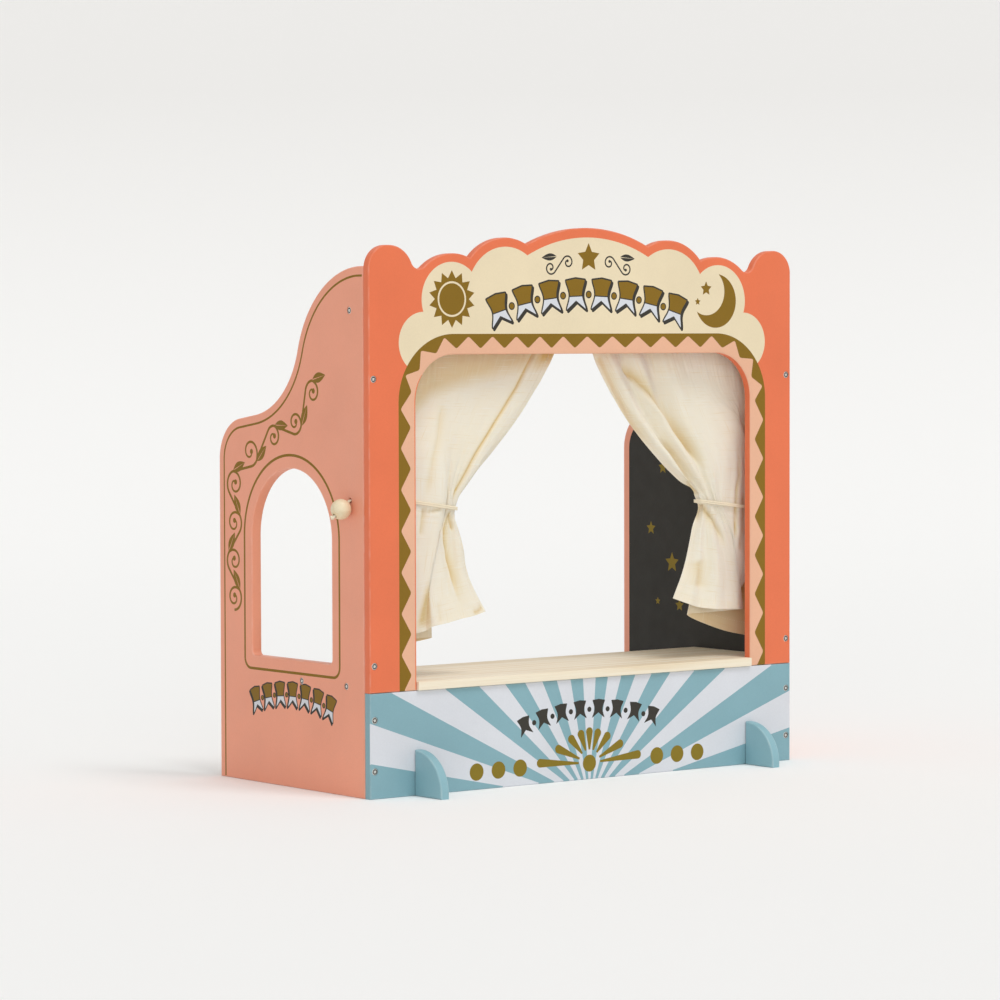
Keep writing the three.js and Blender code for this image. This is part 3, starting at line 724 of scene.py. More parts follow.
@dataclass(frozen=True)
class Finish:
    """A material whose colour, gloss and relief come from one shared node group."""

    name: str
    hue: str
    group: str = "satin"
    values: tuple[tuple[str, float], ...] = ()
    wear: float = 0.0
    metallic: float = 0.0
    sheen: float = 0.0
    subsurface: float = 0.0
    specular: float = 0.5

    def material(self) -> bpy.types.Material:
        """The material, made at its first use.

        Returns:
            The material.
        """
        if self.name in _made:
            return _made[self.name]
        made = _made[self.name] = bpy.data.materials.new(self.name)
        made.use_nodes = True
        made.diffuse_color = linear(self.hue)
        tree = Tree(made.node_tree)
        shader = made.node_tree.nodes["Principled BSDF"]
        skin = tree.add("ShaderNodeGroup", node_tree=shared_group(self.group))
        skin.inputs["Colour"].default_value = linear(self.hue)
        for key, value in self.values:
            skin.inputs[key].default_value = value
        colour = skin.outputs["Colour"]
        if self.wear:
            edge = tree.add("ShaderNodeGroup", node_tree=shared_group("edge"))
            edge.inputs["Amount"].default_value = self.wear
            tree.tree.links.new(colour, edge.inputs["Colour"])
            colour = edge.outputs["Colour"]
        tree.tree.links.new(colour, shader.inputs["Base Color"])
        tree.tree.links.new(skin.outputs["Roughness"], shader.inputs["Roughness"])
        tree.tree.links.new(skin.outputs["Normal"], shader.inputs["Normal"])
        shader.inputs["Metallic"].default_value = self.metallic
        shader.inputs["Specular IOR Level"].default_value = self.specular
        shader.inputs["Sheen Weight"].default_value = self.sheen
        if self.subsurface:
            shader.inputs["Subsurface Weight"].default_value = self.subsurface
            shader.inputs["Subsurface Radius"].default_value = (1.0, 0.9, 0.75)
            shader.inputs["Subsurface Scale"].default_value = 0.002
        return made


CORAL = Finish("coral_satin", "#ea784f", wear=0.3, specular=0.35)
PINK = Finish("pink_satin", "#f3a588", wear=0.3, specular=0.35)
TEAL = Finish("teal_satin", "#86aeb8", wear=0.3, specular=0.35)
FOOT_TEAL = Finish("foot_satin", "#8eb8c2", wear=0.3, specular=0.35)
CREAM = Finish("cream_print", "#edddbb", values=(("Gloss", 0.5),), specular=0.35)
OLIVE = Finish("olive_print", "#886818", values=(("Gloss", 0.55), ("Peel", 1.6)), specular=0.25)
PEACH = Finish("peach_print", "#ecb797", values=(("Gloss", 0.5),), specular=0.35)
WHITE = Finish("white_print", "#dadde3", values=(("Gloss", 0.5),), specular=0.35)
DARK = Finish("dark_print", "#38352f", values=(("Gloss", 0.55),), specular=0.25)
MOSS = Finish("moss_print", "#887420", values=(("Gloss", 0.55), ("Peel", 1.6)), specular=0.25)
SLATE = Finish("chalk_paint", "#353430", values=(("Gloss", 0.72), ("Peel", 2.5)), specular=0.3)
PINE = Finish("pine_board", "#f6ecd6", group="grain", values=(("Contrast", 0.75),), specular=0.35)
BEECH = Finish("bead_wood", "#efe1c0", group="grain", values=(("Contrast", 0.5), ("Gloss", 0.45)))
LINEN = Finish("linen_weave", "#f8f0df", group="weave", sheen=0.15, subsurface=0.4, specular=0.15)
COTTON = Finish(
    "cotton_twist", "#f3e8cf", values=(("Gloss", 0.85), ("Peel", 3.0)), sheen=0.2, specular=0.15
)
ZINC = Finish("zinc_plate", "#dcdbd6", group="pressed", metallic=1.0)


# Pieces


@dataclass
class Site:
    """Where the theater stands in the frame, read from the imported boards."""

    front: float = 0.0

    def read(self) -> None:
        """Takes the front face's place from the frame."""
        self.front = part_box("front_arch_board")[0].y

    def metres(self, points: Points) -> Points:
        """Points in millimetres from the front face, in the frame's metres."""
        return np.asarray(points, float) * MM + np.array((0.0, self.front, 0.0))


SITE = Site()


def placed(name: str, data: bpy.types.ID) -> Thing:
    """An object of some data, linked to the scene.

    Args:
        name: the object's name.
        data: its mesh, lamp or camera.

    Returns:
        The object.
    """
    made = bpy.data.objects.new(name, data)
    bpy.context.scene.collection.objects.link(made)
    return made


def mended(mesh: bpy.types.Mesh, weld: float = 0.0, turn: bool = True) -> None:
    """Welds a mesh, drops its loose vertices and warns where it is open.

    Args:
        mesh: the mesh.
        weld: how near vertices are welded, in metres, or 0 for none.
        turn: whether its faces are turned outward.
    """
    shaped = bmesh.new()
    shaped.from_mesh(mesh)
    if weld:
        bmesh.ops.remove_doubles(shaped, verts=shaped.verts, dist=weld)
    if turn:
        bmesh.ops.recalc_face_normals(shaped, faces=shaped.faces)
    loose = [v for v in shaped.verts if not v.link_faces]
    bmesh.ops.delete(shaped, geom=loose, context="VERTS")
    open_edges = sum(not e.is_manifold for e in shaped.edges)
    if open_edges:
        log.warning("%s has %d open edges", mesh.name, open_edges)
    shaped.to_mesh(mesh)
    shaped.free()


def piece(
    name: str, points: Points, faces: Iterable[Sequence[int]], finishes: Sequence[Finish],
    slots: Sequence[int] | None = None,
) -> Thing:
    """Makes an object from places in millimetres.

    Args:
        name: the piece's name.
        points: its places from the front face.
        faces: its faces.
        finishes: the finishes of its material slots.
        slots: each face's slot, or none where it has one finish.

    Returns:
        The object, at the origin and linked to the scene.
    """
    mesh = bpy.data.meshes.new(name)
    mesh.from_pydata(SITE.metres(points).tolist(), [], [tuple(map(int, f)) for f in faces])
    for finish in finishes:
        mesh.materials.append(finish.material())
    if slots is not None:
        mesh.polygons.foreach_set("material_index", np.asarray(slots, np.int32))
    return placed(name, mesh)


def smooth(made: Thing, angle: float = 40.0) -> None:
    """Shades a piece smooth up to an angle in degrees."""
    made.data.shade_smooth()
    made.data.set_sharp_from_angle(angle=math.radians(angle))


def dress(made: Thing, slot: str, *nodes: str) -> Thing:
    """Makes a piece stand for its nodes by hiding them, and logs its faces and, for one node, its distance
    from that node's box.

    Args:
        made: the piece.
        slot: not used.
        nodes: the CAD nodes that it stands for.

    Returns:
        The piece.
    """
    if nodes:
        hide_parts(*nodes)
    if len(nodes) == 1:
        low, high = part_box(nodes[0])
        places = np.array([v.co for v in made.data.vertices])
        gap = max(np.abs(places.min(0) - low).max(), np.abs(places.max(0) - high).max())
        log.info("%s: %.2f mm from its node's box", made.name, gap / MM)
    log.info("%s: %d faces", made.name, len(made.data.polygons))
    return made


def seat(made: Thing, body: str, slot: str, *nodes: str) -> Thing:
    """Makes a piece ride on one body and dresses it."""
    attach(made, body)
    return dress(made, slot, *nodes)


def bend(made: Thing, body: str, ends: Points, slot: str, *nodes: str) -> Thing:
    """Bakes a piece's place into its mesh and dresses it.

    Args:
        made: the piece.
        body: not used.
        ends: not used.
        slot: the record's slot.
        nodes: the CAD nodes that it stands for.

    Returns:
        The piece.
    """
    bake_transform(made)
    return dress(made, slot, *nodes)


@dataclass
class Stance:
    """How a board stands: its corner and the ways that its outline runs."""

    origin: tuple[float, float, float]
    across: tuple[float, float, float]
    upward: tuple[float, float, float]

    def places(self, flat: Points, depth: float) -> Points:
        """Outline points at a depth behind the board's front, in space.

        Args:
            flat: the outline's points.
            depth: how far behind the front they are.

        Returns:
            The places in space.
        """
        across, upward = np.array(self.across), np.array(self.upward)
        inward = -np.cross(across, upward)
        return np.array(self.origin) + flat[:, :1] * across + flat[:, 1:] * upward + inward * depth


@dataclass
class Print:
    """A printed area: its finish and its closed outlines, outer ones counterclockwise."""

    finish: Finish
    loops: list[Points]


@dataclass
class Board:
    """A board with rounded edges, countersunk screw holes and prints in its faces."""

    name: str
    stance: Stance
    outline: Points
    thickness: float
    paint: Finish
    holes: list[Points] = field(default_factory=list)
    front_prints: list[Print] = field(default_factory=list)
    back_prints: list[Print] = field(default_factory=list)
    front_screws: Sequence[Sequence[float]] = ()
    back_screws: Sequence[Sequence[float]] = ()
    edge: float = 1.3
    rim_steps: int = 4
    screw_mouth: float = 3.8
    screw_throat: float = 2.05
    screw_rim: float = 0.6
    screw_depth: float = 3.0
    screw_sides: int = 24
    weld: float = 5e-6  # metres
    corner_room: float = 0.006  # no crossing is added nearer a corner
    on_line: float = 5e-4  # a point this near a line lies on it
    wrap_depth: float = 0.06  # where a print that wraps the edge is read, inside the rounding

    def drawn(self, loops: Sequence[Points], prints: list[Print]) -> tuple[Points, Points]:
        """Triangulates the plane with every loop and print outline as edges.

        Args:
            loops: the face's own loops.
            prints: what is printed on it.

        Returns:
            The places and the triangles.
        """
        places, edges = [], []
        for loop in [*loops, *(loop for p in prints for loop in p.loops)]:
            start = len(places)
            places.extend(Vector(p) for p in loop)
            edges.extend((start + i, start + (i + 1) % len(loop)) for i in range(len(loop)))
        found, _, triangles, *_ = delaunay_2d_cdt(places, edges, [], 0, 1e-4)
        return np.array(found), np.array([t for t in triangles if len(t) == 3])

    @staticmethod
    def printed(places: Points, prints: list[Print]) -> Points:
        """The number of the topmost print at each place, 0 for bare paint.

        Args:
            places: the places on the face.
            prints: the prints, the topmost last.

        Returns:
            The numbers.
        """
        numbers = np.zeros(len(places), int)
        for number, one in enumerate(prints, 1):
            numbers[sum(winding(places, loop) for loop in one.loops) != 0] = number
        return numbers

    def face(self, rings: list[Points], mouths: list[Points], prints: list[Print]) -> tuple:
        """Triangulates one flat face with its prints.

        Args:
            rings: the face's edge loops, the material on their left.
            mouths: the mouths of its screw holes.
            prints: what is printed on it, the topmost last.

        Returns:
            The places, the triangles and each triangle's print number.
        """
        spots, triangles = self.drawn([*rings, *mouths], prints)
        middles = spots[triangles].mean(axis=1)
        kept = sum(winding(middles, loop) for loop in rings) != 0
        for loop in mouths:
            kept &= winding(middles, loop) == 0
        triangles, middles = triangles[kept], middles[kept]
        a, b, c = (spots[triangles[:, k]] for k in range(3))
        turned = np.cross(b - a, c - a) < 0
        triangles[turned] = triangles[turned][:, ::-1]
        return spots, triangles, self.printed(middles, prints)

    def crossings(self, loop: Points, spots: Points) -> list[tuple[int, float]]:
        """Where other lines meet a loop: each edge's number and the share along it.

        Args:
            loop: the loop.
            spots: the points of every line on the face.

        Returns:
            The edge numbers with their shares.
        """
        found = []
        for i, (a, b) in enumerate(zip(loop, np.roll(loop, -1, axis=0))):
            along = b - a
            length = float(np.linalg.norm(along))
            share = (spots - a) @ along / length**2
            off = np.abs((spots - a) @ leftward(along)) / length
            away = np.minimum(share, 1 - share) * length
            inside = (away > self.corner_room) & (off < self.on_line)
            found += [(i, float(t)) for t in sorted(share[inside])]
        return found

    @staticmethod
    def cut(loop: Points, places: list[tuple[int, float]]) -> Points:
        """A loop with a point added at each of the given places.

        Args:
            loop: the loop.
            places: edge numbers with the shares along them.

        Returns:
            The loop with its new points.
        """
        ahead = np.roll(loop, -1, axis=0)
        made = [(i, loop[i]) for i in range(len(loop))]
        made += [(i + t, loop[i] + (ahead[i] - loop[i]) * t) for i, t in places]
        return np.array([point for _, point in sorted(made, key=lambda pair: pair[0])])

    def build(self) -> Thing:
        """Makes the board's mesh: two faces, rounded rims and countersinks, welded together.

        Returns:
            The board's piece, not dressed yet.
        """
        loops = [self.outline, *self.holes]
        sides = [(self.front_prints, self.front_screws), (self.back_prints, self.back_screws)]
        drawn = [self.drawn([inset(w, self.edge) for w in loops], prints)[0] for prints, _ in sides]
        met = [
            sorted({c for spots in drawn for c in self.crossings(inset(loop, self.edge), spots)})
            for loop in loops
        ]

        def rings_at(inward: float) -> list[Points]:
            """Every edge loop moved into the board, with points where prints cross the face's."""
            return [self.cut(inset(loop, inward), places) for loop, places in zip(loops, met)]

        finishes = [self.paint]
        points: list[Points] = []
        faces: list[Points] = []
        slots: list[Points] = []
        edges: list[Points] = []

        def add(places: Points, quads: Points, numbers: Points, rims: Points) -> None:
            """Adds a run of faces to the mesh.

            Args:
                places: the faces' points.
                quads: the faces, by the points' numbers.
                numbers: each face's slot.
                rims: 1 for each face on the rounded edge, 0 elsewhere.
            """
            start = sum(len(p) for p in points)
            points.append(places)
            faces.append([tuple(int(i) + start for i in q) for q in quads])
            slots.append(numbers)
            edges.append(rims)

        for front, (prints, screws) in zip((True, False), sides):
            rings = rings_at(self.edge)
            mouths = [circle(s, self.screw_mouth, self.screw_sides) for s in screws]
            spots = self.drawn([*rings, *mouths], prints)[0]
            mouths = [self.cut(mouth, self.crossings(mouth, spots)) for mouth in mouths]
            spots, triangles, numbers = self.face(rings, mouths, prints)
            offset = len(finishes) - 1
            finishes.extend(p.finish for p in prints)
            numbers = np.where(numbers > 0, numbers + offset, 0)
            depth = 0.0 if front else self.thickness
            way = 1 if front else -1
            plain = np.zeros(len(triangles))
            add(self.stance.places(spots, depth), triangles[:, ::way], numbers, plain)
            sizes = (1.0, 1.0, self.screw_throat / self.screw_mouth)
            depths = (0.0, self.screw_rim, self.screw_depth)
            for screw, mouth in zip(screws, mouths):
                rows = [
                    self.stance.places(screw + (mouth - screw) * size, depth + way * d)
                    for size, d in zip(sizes, depths)
                ]
                self.skirt(rows, add, flip=not front, floor=True)
        steps = np.linspace(0, math.pi / 2, self.rim_steps + 1)
        rounds = [(self.edge * (1 - math.sin(a)), self.edge * (1 - math.cos(a))) for a in steps]
        profile = rounds + [(i, self.thickness - d) for i, d in reversed(rounds)]
        for n, inner in enumerate(rings_at(self.edge + self.wrap_depth)):
            rows = [self.stance.places(rings_at(i)[n], d) for i, d in profile]
            middles = (inner + np.roll(inner, -1, axis=0)) / 2
            wrapped = np.tile(self.printed(middles, self.front_prints), self.rim_steps - 1)
            self.skirt(rows, add, flip=False, floor=False, wrapped=wrapped)
        made = piece(self.name, np.vstack(points), sum(faces, []), finishes, np.concatenate(slots))
        rim = made.data.attributes.new("edge", "FLOAT", "FACE")
        rim.data.foreach_set("value", np.concatenate(edges).astype(np.float32))
        mended(made.data, self.weld, turn=False)
        smooth(made)
        return made

    @staticmethod
    def skirt(
        rows: list[Points], add: Callable[..., None], flip: bool, floor: bool,
        wrapped: Sequence[int] = (),
    ) -> None:
        """Adds the quads between rows of places, and a floor across the last row.

        Args:
            rows: closed rows with equal counts.
            add: takes the places, faces, slots and edge values.
            flip: whether the rows wind the other way.
            floor: whether the last row is closed with a face.
            wrapped: print numbers of the first quads, where a print wraps over the edge.
        """
        count, bands = len(rows[0]), len(rows) - 1
        quads = [q for r in range(bands) for q in wall(r * count, (r + 1) * count, count)]
        if floor != flip:
            quads = [q[::-1] for q in quads]
        rims = np.repeat([float(not floor and 2 * r != bands - 1) for r in range(bands)], count)
        if floor:
            last = tuple(bands * count + i for i in range(count))
            quads.append(last[::-1] if flip else last)
            rims = np.append(rims, 0.0)
        numbers = np.zeros(len(quads), int)
        numbers[: len(wrapped)] = wrapped
        add(np.vstack(rows), quads, numbers, rims)


@dataclass
class Carcass:
    """The sizes that the boards share."""

    width: float = 570.0
    height: float = 580.75
    front: float = 9.5
    side: float = 12.0
    depth: float = 272.0
    seam: float = 107.5
    gap: float = 0.25
    opening_side: float = 58.75
    opening_header: float = 131.75
    opening_corner: float = 48.5
    rod_setback: float = 34.0
    rod_rise: float = 45.0
    pull_drop: float = 147.5
    shelf: float = 9.0
    foot_pitch: float = 448.5
    lower_screws: tuple[float, ...] = (28.0, 80.0)
    arch_screws: tuple[float, ...] = (134.75, 424.5)
    foot_screws: tuple[float, ...] = (14.0, 33.0)
    shelf_screws: tuple[float, ...] = (41.5, 121.0)

    @property
    def half(self) -> float:
        """Half of the front's width."""
        return self.width / 2

    @property
    def inner(self) -> float:
        """From the middle to a side board's inner face."""
        return self.half - self.side

    @property
    def opening_top(self) -> float:
        """Height of the opening's top."""
        return self.height - self.opening_header

    @property
    def opening_half(self) -> float:
        """Half of the opening's width."""
        return self.half - self.opening_side

    @property
    def rod_height(self) -> float:
        """Height of the rod's axis."""
        return self.opening_top + self.rod_rise

    @property
    def pull_height(self) -> float:
        """Height of the cords' holes."""
        return self.opening_top - self.pull_drop

    @property
    def side_screws(self) -> list[tuple[float, float]]:
        """Places of the screws in a side board, y and z: the shelf's, then the rod's."""
        shelf = [(y, self.seam + self.shelf / 2) for y in self.shelf_screws]
        return [*shelf, (self.rod_setback, self.rod_height)]

    def paired(self, out: float, heights: Sequence[float]) -> list[tuple[float, float]]:
        """Places at these heights, as far out on both sides of the middle."""
        return [(s.value * out, z) for s in SIDES for z in heights]

    def front_screws(self, heights: Sequence[float]) -> list[tuple[float, float]]:
        """Screw places at these heights on both edges of a front board."""
        return self.paired(self.half - self.side / 2, heights)


BODY = Carcass()
FACING_FRONT = Stance((0, 0, 0), (1, 0, 0), (0, 0, 1))


@dataclass
class Banners:
    """A row of small two-tone banners on an arch, with studs between them."""

    middle: tuple[float, float]
    radius: float
    count: int
    pitch: float
    width: float
    height: float
    line: float
    stud: float
    fork: float = 0.3
    pinch: float = 0.34
    crest: float = 0.06
    head_foot: float = 0.47
    foot_top: float = 0.43

    def spots(self, shift: float) -> list[tuple[Points, float]]:
        """Places and leans along the arch, the row moved along it by a share of its pitch.

        Args:
            shift: the move, as a share of the pitch.

        Returns:
            Each place with its lean in radians.
        """
        made = []
        for k in range(self.count):
            lean = (k - (self.count - 1) / 2 + shift) * self.pitch / self.radius
            rise = np.array((math.sin(lean), math.cos(lean) - 1))
            made.append((np.array(self.middle) + self.radius * rise, lean))
        return made

    def turned(self, shape: Points, place: Points, lean: float) -> Points:
        """A shape leaned with the arch and put in its place."""
        c, s = math.cos(-lean), math.sin(-lean)
        return place + shape @ np.array(((c, s), (-s, c)))

    def shape(self, low: float = 0.0, high: float = 1.0) -> Points:
        """A drawn-in, forked banner between two shares of its height, counterclockwise.

        Args:
            low: the lower share.
            high: the higher share.

        Returns:
            The closed outline.
        """
        shares = np.linspace(low, high, 13)
        waist = self.width / 2 * (1 - self.pinch * np.sin(math.pi * np.clip(shares, 0, 1)) ** 1.4)
        right = np.column_stack((waist, (shares - 0.5) * self.height))
        fork = ((0.0, (self.fork - 0.5) * self.height),) if low < self.fork else ()
        crest = ((0.0, (high - 0.5 + self.crest) * self.height),) if high >= 1.0 else ()
        return np.array([*right, *crest, *(right * (-1, 1))[::-1], *fork])

    def prints(self) -> list[Print]:
        """The row's dark outlines and shadows, olive heads, white feet and studs.

        Returns:
            The prints, the topmost last.
        """
        shadow = np.array((1.0, -1.2)) * self.line
        dark, olive, white = [], [], []
        for place, lean in self.spots(0.0):
            outline = swollen(self.shape(), self.line)
            dark += [self.turned(outline, place, lean) + move for move in (np.zeros(2), shadow)]
            olive.append(self.turned(self.shape(self.head_foot), place, lean))
            white.append(self.turned(self.shape(0.0, self.foot_top), place, lean))
        studs = self.spots(0.5)[:-1]
        dark.extend(circle(p, self.stud + self.line * 0.7, 24) for p, _ in studs)
        olive.extend(circle(p, self.stud, 24) for p, _ in studs)
        return [Print(DARK, dark), Print(OLIVE, olive), Print(WHITE, white)]


@dataclass
class ArchBoard:
    """The scalloped header and the two posts, in one piece round the opening."""

    crown_radius: float = 190.0
    inner_radius: float = 60.0
    inner_drop: float = 11.5
    outer_radius: float = 56.0
    outer_drop: float = 28.5
    scallop_pitch: float = 68.0
    post_pitch: float = 80.0
    post_drop: float = 21.0
    post_inner: float = 30.0
    post_corner: float = 24.0
    post_flat: float = 3.0
    valley_radius: float = 10.0
    field_inset: float = 10.0
    border_reach: float = 248.0
    border_top: float = 470.0
    border_corner: float = 70.0
    tooth_out: float = 2.5
    tooth_in: float = 15.3
    tooth_round: float = 2.6
    tooth_line: float = 9.0
    left_legs: tuple[float, float, int] = (15.8, 42.0, 7)
    left_turn: tuple[float, ...] = (305.0, 332.5, 363.0)
    left_top: tuple[float, float, int] = (392.0, 31.1, 6)
    right_legs: tuple[float, float, int] = (36.2, 42.2, 7)
    right_turn: tuple[float, ...] = (318.5, 348.5, 379.5)
    right_top: tuple[float, float, int] = (411.5, 35.0, 5)
    overprint: float = 1.0
    bare: float = 2.9
    crest_star: tuple[float, float, float] = (0.0, 549.5, 15.5)
    crest_line: float = 1.7
    sun_middle: tuple[float, float] = (-180.0, 505.5)
    sun_tips: int = 14
    sun_radii: tuple[float, float, float] = (29.5, 18.2, 16.2)
    moon_radii: tuple[float, float] = (29.0, 25.5)

    def header_half(self) -> Points:
        """The header's outline from the middle to the right post's outer edge.

        Returns:
            The open line.
        """
        height = BODY.height
        crown = np.array((0.0, height - self.crown_radius))
        corner = np.array((BODY.half - self.post_corner, height - self.post_drop - self.post_corner))
        cap = np.array((corner[0] - self.post_flat, height - self.post_drop - self.post_inner))
        outer = np.array((cap[0] - self.post_pitch, height - self.outer_drop - self.outer_radius))
        inner = np.array((outer[0] - self.scallop_pitch, height - self.inner_drop - self.inner_radius))
        round_ = self.valley_radius
        valley = meet(outer, self.outer_radius + round_, cap, self.post_inner + round_)
        first = meet(crown, self.crown_radius, inner, self.inner_radius)
        second = meet(inner, self.inner_radius, outer, self.outer_radius)
        return np.vstack(
            (
                arc(crown, self.crown_radius, 90, bearing(crown, first)),
                arc(inner, self.inner_radius, bearing(inner, first), bearing(inner, second)),
                arc(outer, self.outer_radius, bearing(outer, second), bearing(outer, valley)),
                arc(valley, round_, bearing(valley, outer) + 360, bearing(valley, cap) + 360),
                arc(cap, self.post_inner, bearing(cap, valley), 90),
                arc(corner, self.post_corner, 90, 0),
            )
        )

    def opening_half(self, grow: float, foot: float) -> Points:
        """The opening's right half from a height up to the middle, grown into the board.

        Args:
            grow: how far it is grown.
            foot: the height it starts at.

        Returns:
            The open line.
        """
        centre = (BODY.opening_half - BODY.opening_corner, BODY.opening_top - BODY.opening_corner)
        side = BODY.opening_half + grow
        return np.vstack((((side, foot),), arc(centre, BODY.opening_corner + grow, 0, 90)))

    def outline(self) -> Points:
        """The whole board's outline, counterclockwise.

        Returns:
            The closed outline.
        """
        right = self.header_half()[::-1]
        opening = self.opening_half(0.0, BODY.seam)
        return chained(
            np.array(((BODY.half, BODY.seam),)), right, mirrored(right),
            np.array(((-BODY.half, BODY.seam),)), mirrored(opening)[::-1], opening[::-1],
        )

    def field(self) -> Points:
        """The cream field: lobes that follow the header, closed inside the border.

        Returns:
            The closed outline.
        """
        crown = np.array((0.0, BODY.height - self.crown_radius))
        lobes = (
            (np.array((216.0, 461.0)), 31.5, (237.5, 437.0), (217.0, 492.0)),
            (np.array((180.0, 505.0)), 38.5, (217.0, 492.0), (155.8, 534.0)),
            (np.array((110.0, 509.25)), 50.5, (155.8, 534.0), (82.0, 551.5)),
        )
        half = [arc(c, r, bearing(c, a), bearing(c, b)) for c, r, a, b in lobes]
        start = bearing(crown, lobes[-1][3])
        half.append(arc(crown, self.crown_radius - self.field_inset, start, 90))
        right = np.vstack(half)
        deep = self.border_half(2.0)
        deep = deep[deep[:, 1] > right[0][1] - 6.0]
        return chained(right, mirrored(right), mirrored(deep)[::-1], deep[::-1])

    def border_half(self, inward: float) -> Points:
        """The border's outer edge on the right, from its foot to the middle, moved inward.

        Args:
            inward: how far it is moved.

        Returns:
            The open line.
        """
        reach = self.border_reach
        centre = (reach - self.border_corner, self.border_top - self.border_corner)
        foot = BODY.seam - self.overprint
        corner = arc(centre, self.border_corner - inward, 0, 90)
        return np.vstack((((reach - inward, foot),), corner, ((0.0, self.border_top - inward),)))

    def along_border(self, station: float, inward: float) -> tuple[float, float]:
        """A place on the right border, by its length from the foot and its depth from the edge.

        Args:
            station: the length from the foot.
            inward: the depth from the edge.

        Returns:
            The place, x and z.
        """
        turn = self.border_corner - self.tooth_line
        leg = self.border_top - self.border_corner - BODY.seam
        reach = self.border_reach - self.border_corner
        radius = self.border_corner - inward
        angle = min(max((station - leg) / turn, 0.0), math.pi / 2)
        x = reach + radius * math.cos(angle) - max(0.0, station - leg - turn * math.pi / 2)
        z = BODY.seam + min(station, leg) + radius * math.sin(angle)
        return x, z

    def teeth(self, side: Side) -> Points:
        """The border's zigzag on one side, from its foot to its last tooth before the middle.

        Args:
            side: the side.

        Returns:
            The open zigzag.
        """
        left = side is Side.LEFT
        legs, top = (self.left_legs, self.left_top) if left else (self.right_legs, self.right_top)
        tips = [legs[0] + k * legs[1] for k in range(-1, legs[2])]
        tips += self.left_turn if left else self.right_turn
        tips += [top[0] + k * top[1] for k in range(top[2])]
        places = []
        for tip, after in zip(tips, tips[1:] + [None]):
            places.append(self.along_border(tip, self.tooth_in))
            if after is not None:
                places.append(self.along_border((tip + after) / 2, self.tooth_out))
        return np.array(places) * (side.value, 1.0)

    def border(self) -> list[Print]:
        """The olive band and the peach teeth inside it.

        Returns:
            The two prints, the topmost last.
        """
        inner = self.opening_half(-self.overprint, BODY.seam - self.overprint)
        outer = self.border_half(0.0)
        right, left = self.teeth(Side.RIGHT), self.teeth(Side.LEFT)
        between = (right[-1][0] + left[-1][0]) / 2
        middle = (between, self.border_top - self.tooth_out)
        line = filleted(np.vstack((right, middle, left[::-1])), self.tooth_round)
        opening = np.vstack((inner, mirrored(inner) - (self.bare, 0.0)))
        frame = np.vstack((outer, mirrored(outer)))
        olive = chained(frame, opening[::-1])
        peach = chained(line, opening[::-1])
        return [Print(OLIVE, [olive]), Print(PEACH, [peach])]

    def crest(self) -> list[Print]:
        """The middle star with a scroll and a leaf on each side.

        Returns:
            The prints, the topmost last.
        """
        lines, leaves = [], []
        for s in (1, -1):
            line = scroll(np.array((28.0, 544.5)), np.array((51.0, 538.5)), 7.0, 1)
            shape = leaf(np.array((43.0, 550.5)), np.array((63.0, 549.0)), 7.5)
            flip = np.array((s, 1.0))
            lines.append(ribbon(line * flip, self.crest_line))
            lines.extend(circle(p * flip, 1.6, 16) for p in (line[0], line[-1]))
            leaves.extend(half * flip for half in shape)
        dark = [counterclockwise(loop) for loop in lines + leaves]
        middle = star(self.crest_star[:2], self.crest_star[2], share=0.5)
        return [Print(OLIVE, [middle]), *(Print(DARK, [loop]) for loop in dark)]

    def sun(self) -> list[Print]:
        """A plain sun: a disc inside a ring of straight rays.

        Returns:
            The prints, the topmost last.
        """
        tip, ring, disc = self.sun_radii
        return [
            Print(OLIVE, [star(self.sun_middle, tip, self.sun_tips, 0.74)]),
            Print(CREAM, [circle(self.sun_middle, ring)]),
            Print(OLIVE, [circle(self.sun_middle, disc)]),
        ]

    def moon(self) -> list[Print]:
        """A plain crescent with two small stars in its hollow.

        Returns:
            The prints.
        """
        centre, bite = np.array((176.5, 505.0)), np.array((163.5, 515.0))
        outer, inner = self.moon_radii
        gap = float(np.linalg.norm(bite - centre))
        toward, away = bearing(centre, bite), bearing(bite, centre)
        wide = math.degrees(math.acos((gap**2 + outer**2 - inner**2) / (2 * gap * outer)))
        narrow = math.degrees(math.acos((gap**2 + inner**2 - outer**2) / (2 * gap * inner)))
        back = arc(centre, outer, toward + wide, toward - wide + 360)
        hollow = arc(bite, inner, away + narrow, away - narrow)
        stars = [star((163.0, 518.0), 8.0, share=0.5), star((151.0, 504.0), 4.2, share=0.5)]
        return [Print(OLIVE, [chained(back, hollow)]), Print(OLIVE, stars)]

    def build(self) -> Thing:
        """The board with its field, border, crest, row of banners, sun and moon.

        Returns:
            The board, dressed.
        """
        row = Banners((0.0, 511.0), 430.0, count=8, pitch=34.5, width=25.0, height=30.0, line=1.7, stud=2.9)
        prints = [
            Print(CREAM, [self.field()]), *self.border(), *self.crest(), *self.sun(), *self.moon(),
            *row.prints(),
        ]
        board = Board(
            "arch_board", FACING_FRONT, self.outline(), BODY.front, CORAL, front_prints=prints,
            front_screws=BODY.front_screws(BODY.arch_screws),
        )
        return seat(board.build(), "carcass", "coral_paint", "front_arch_board")


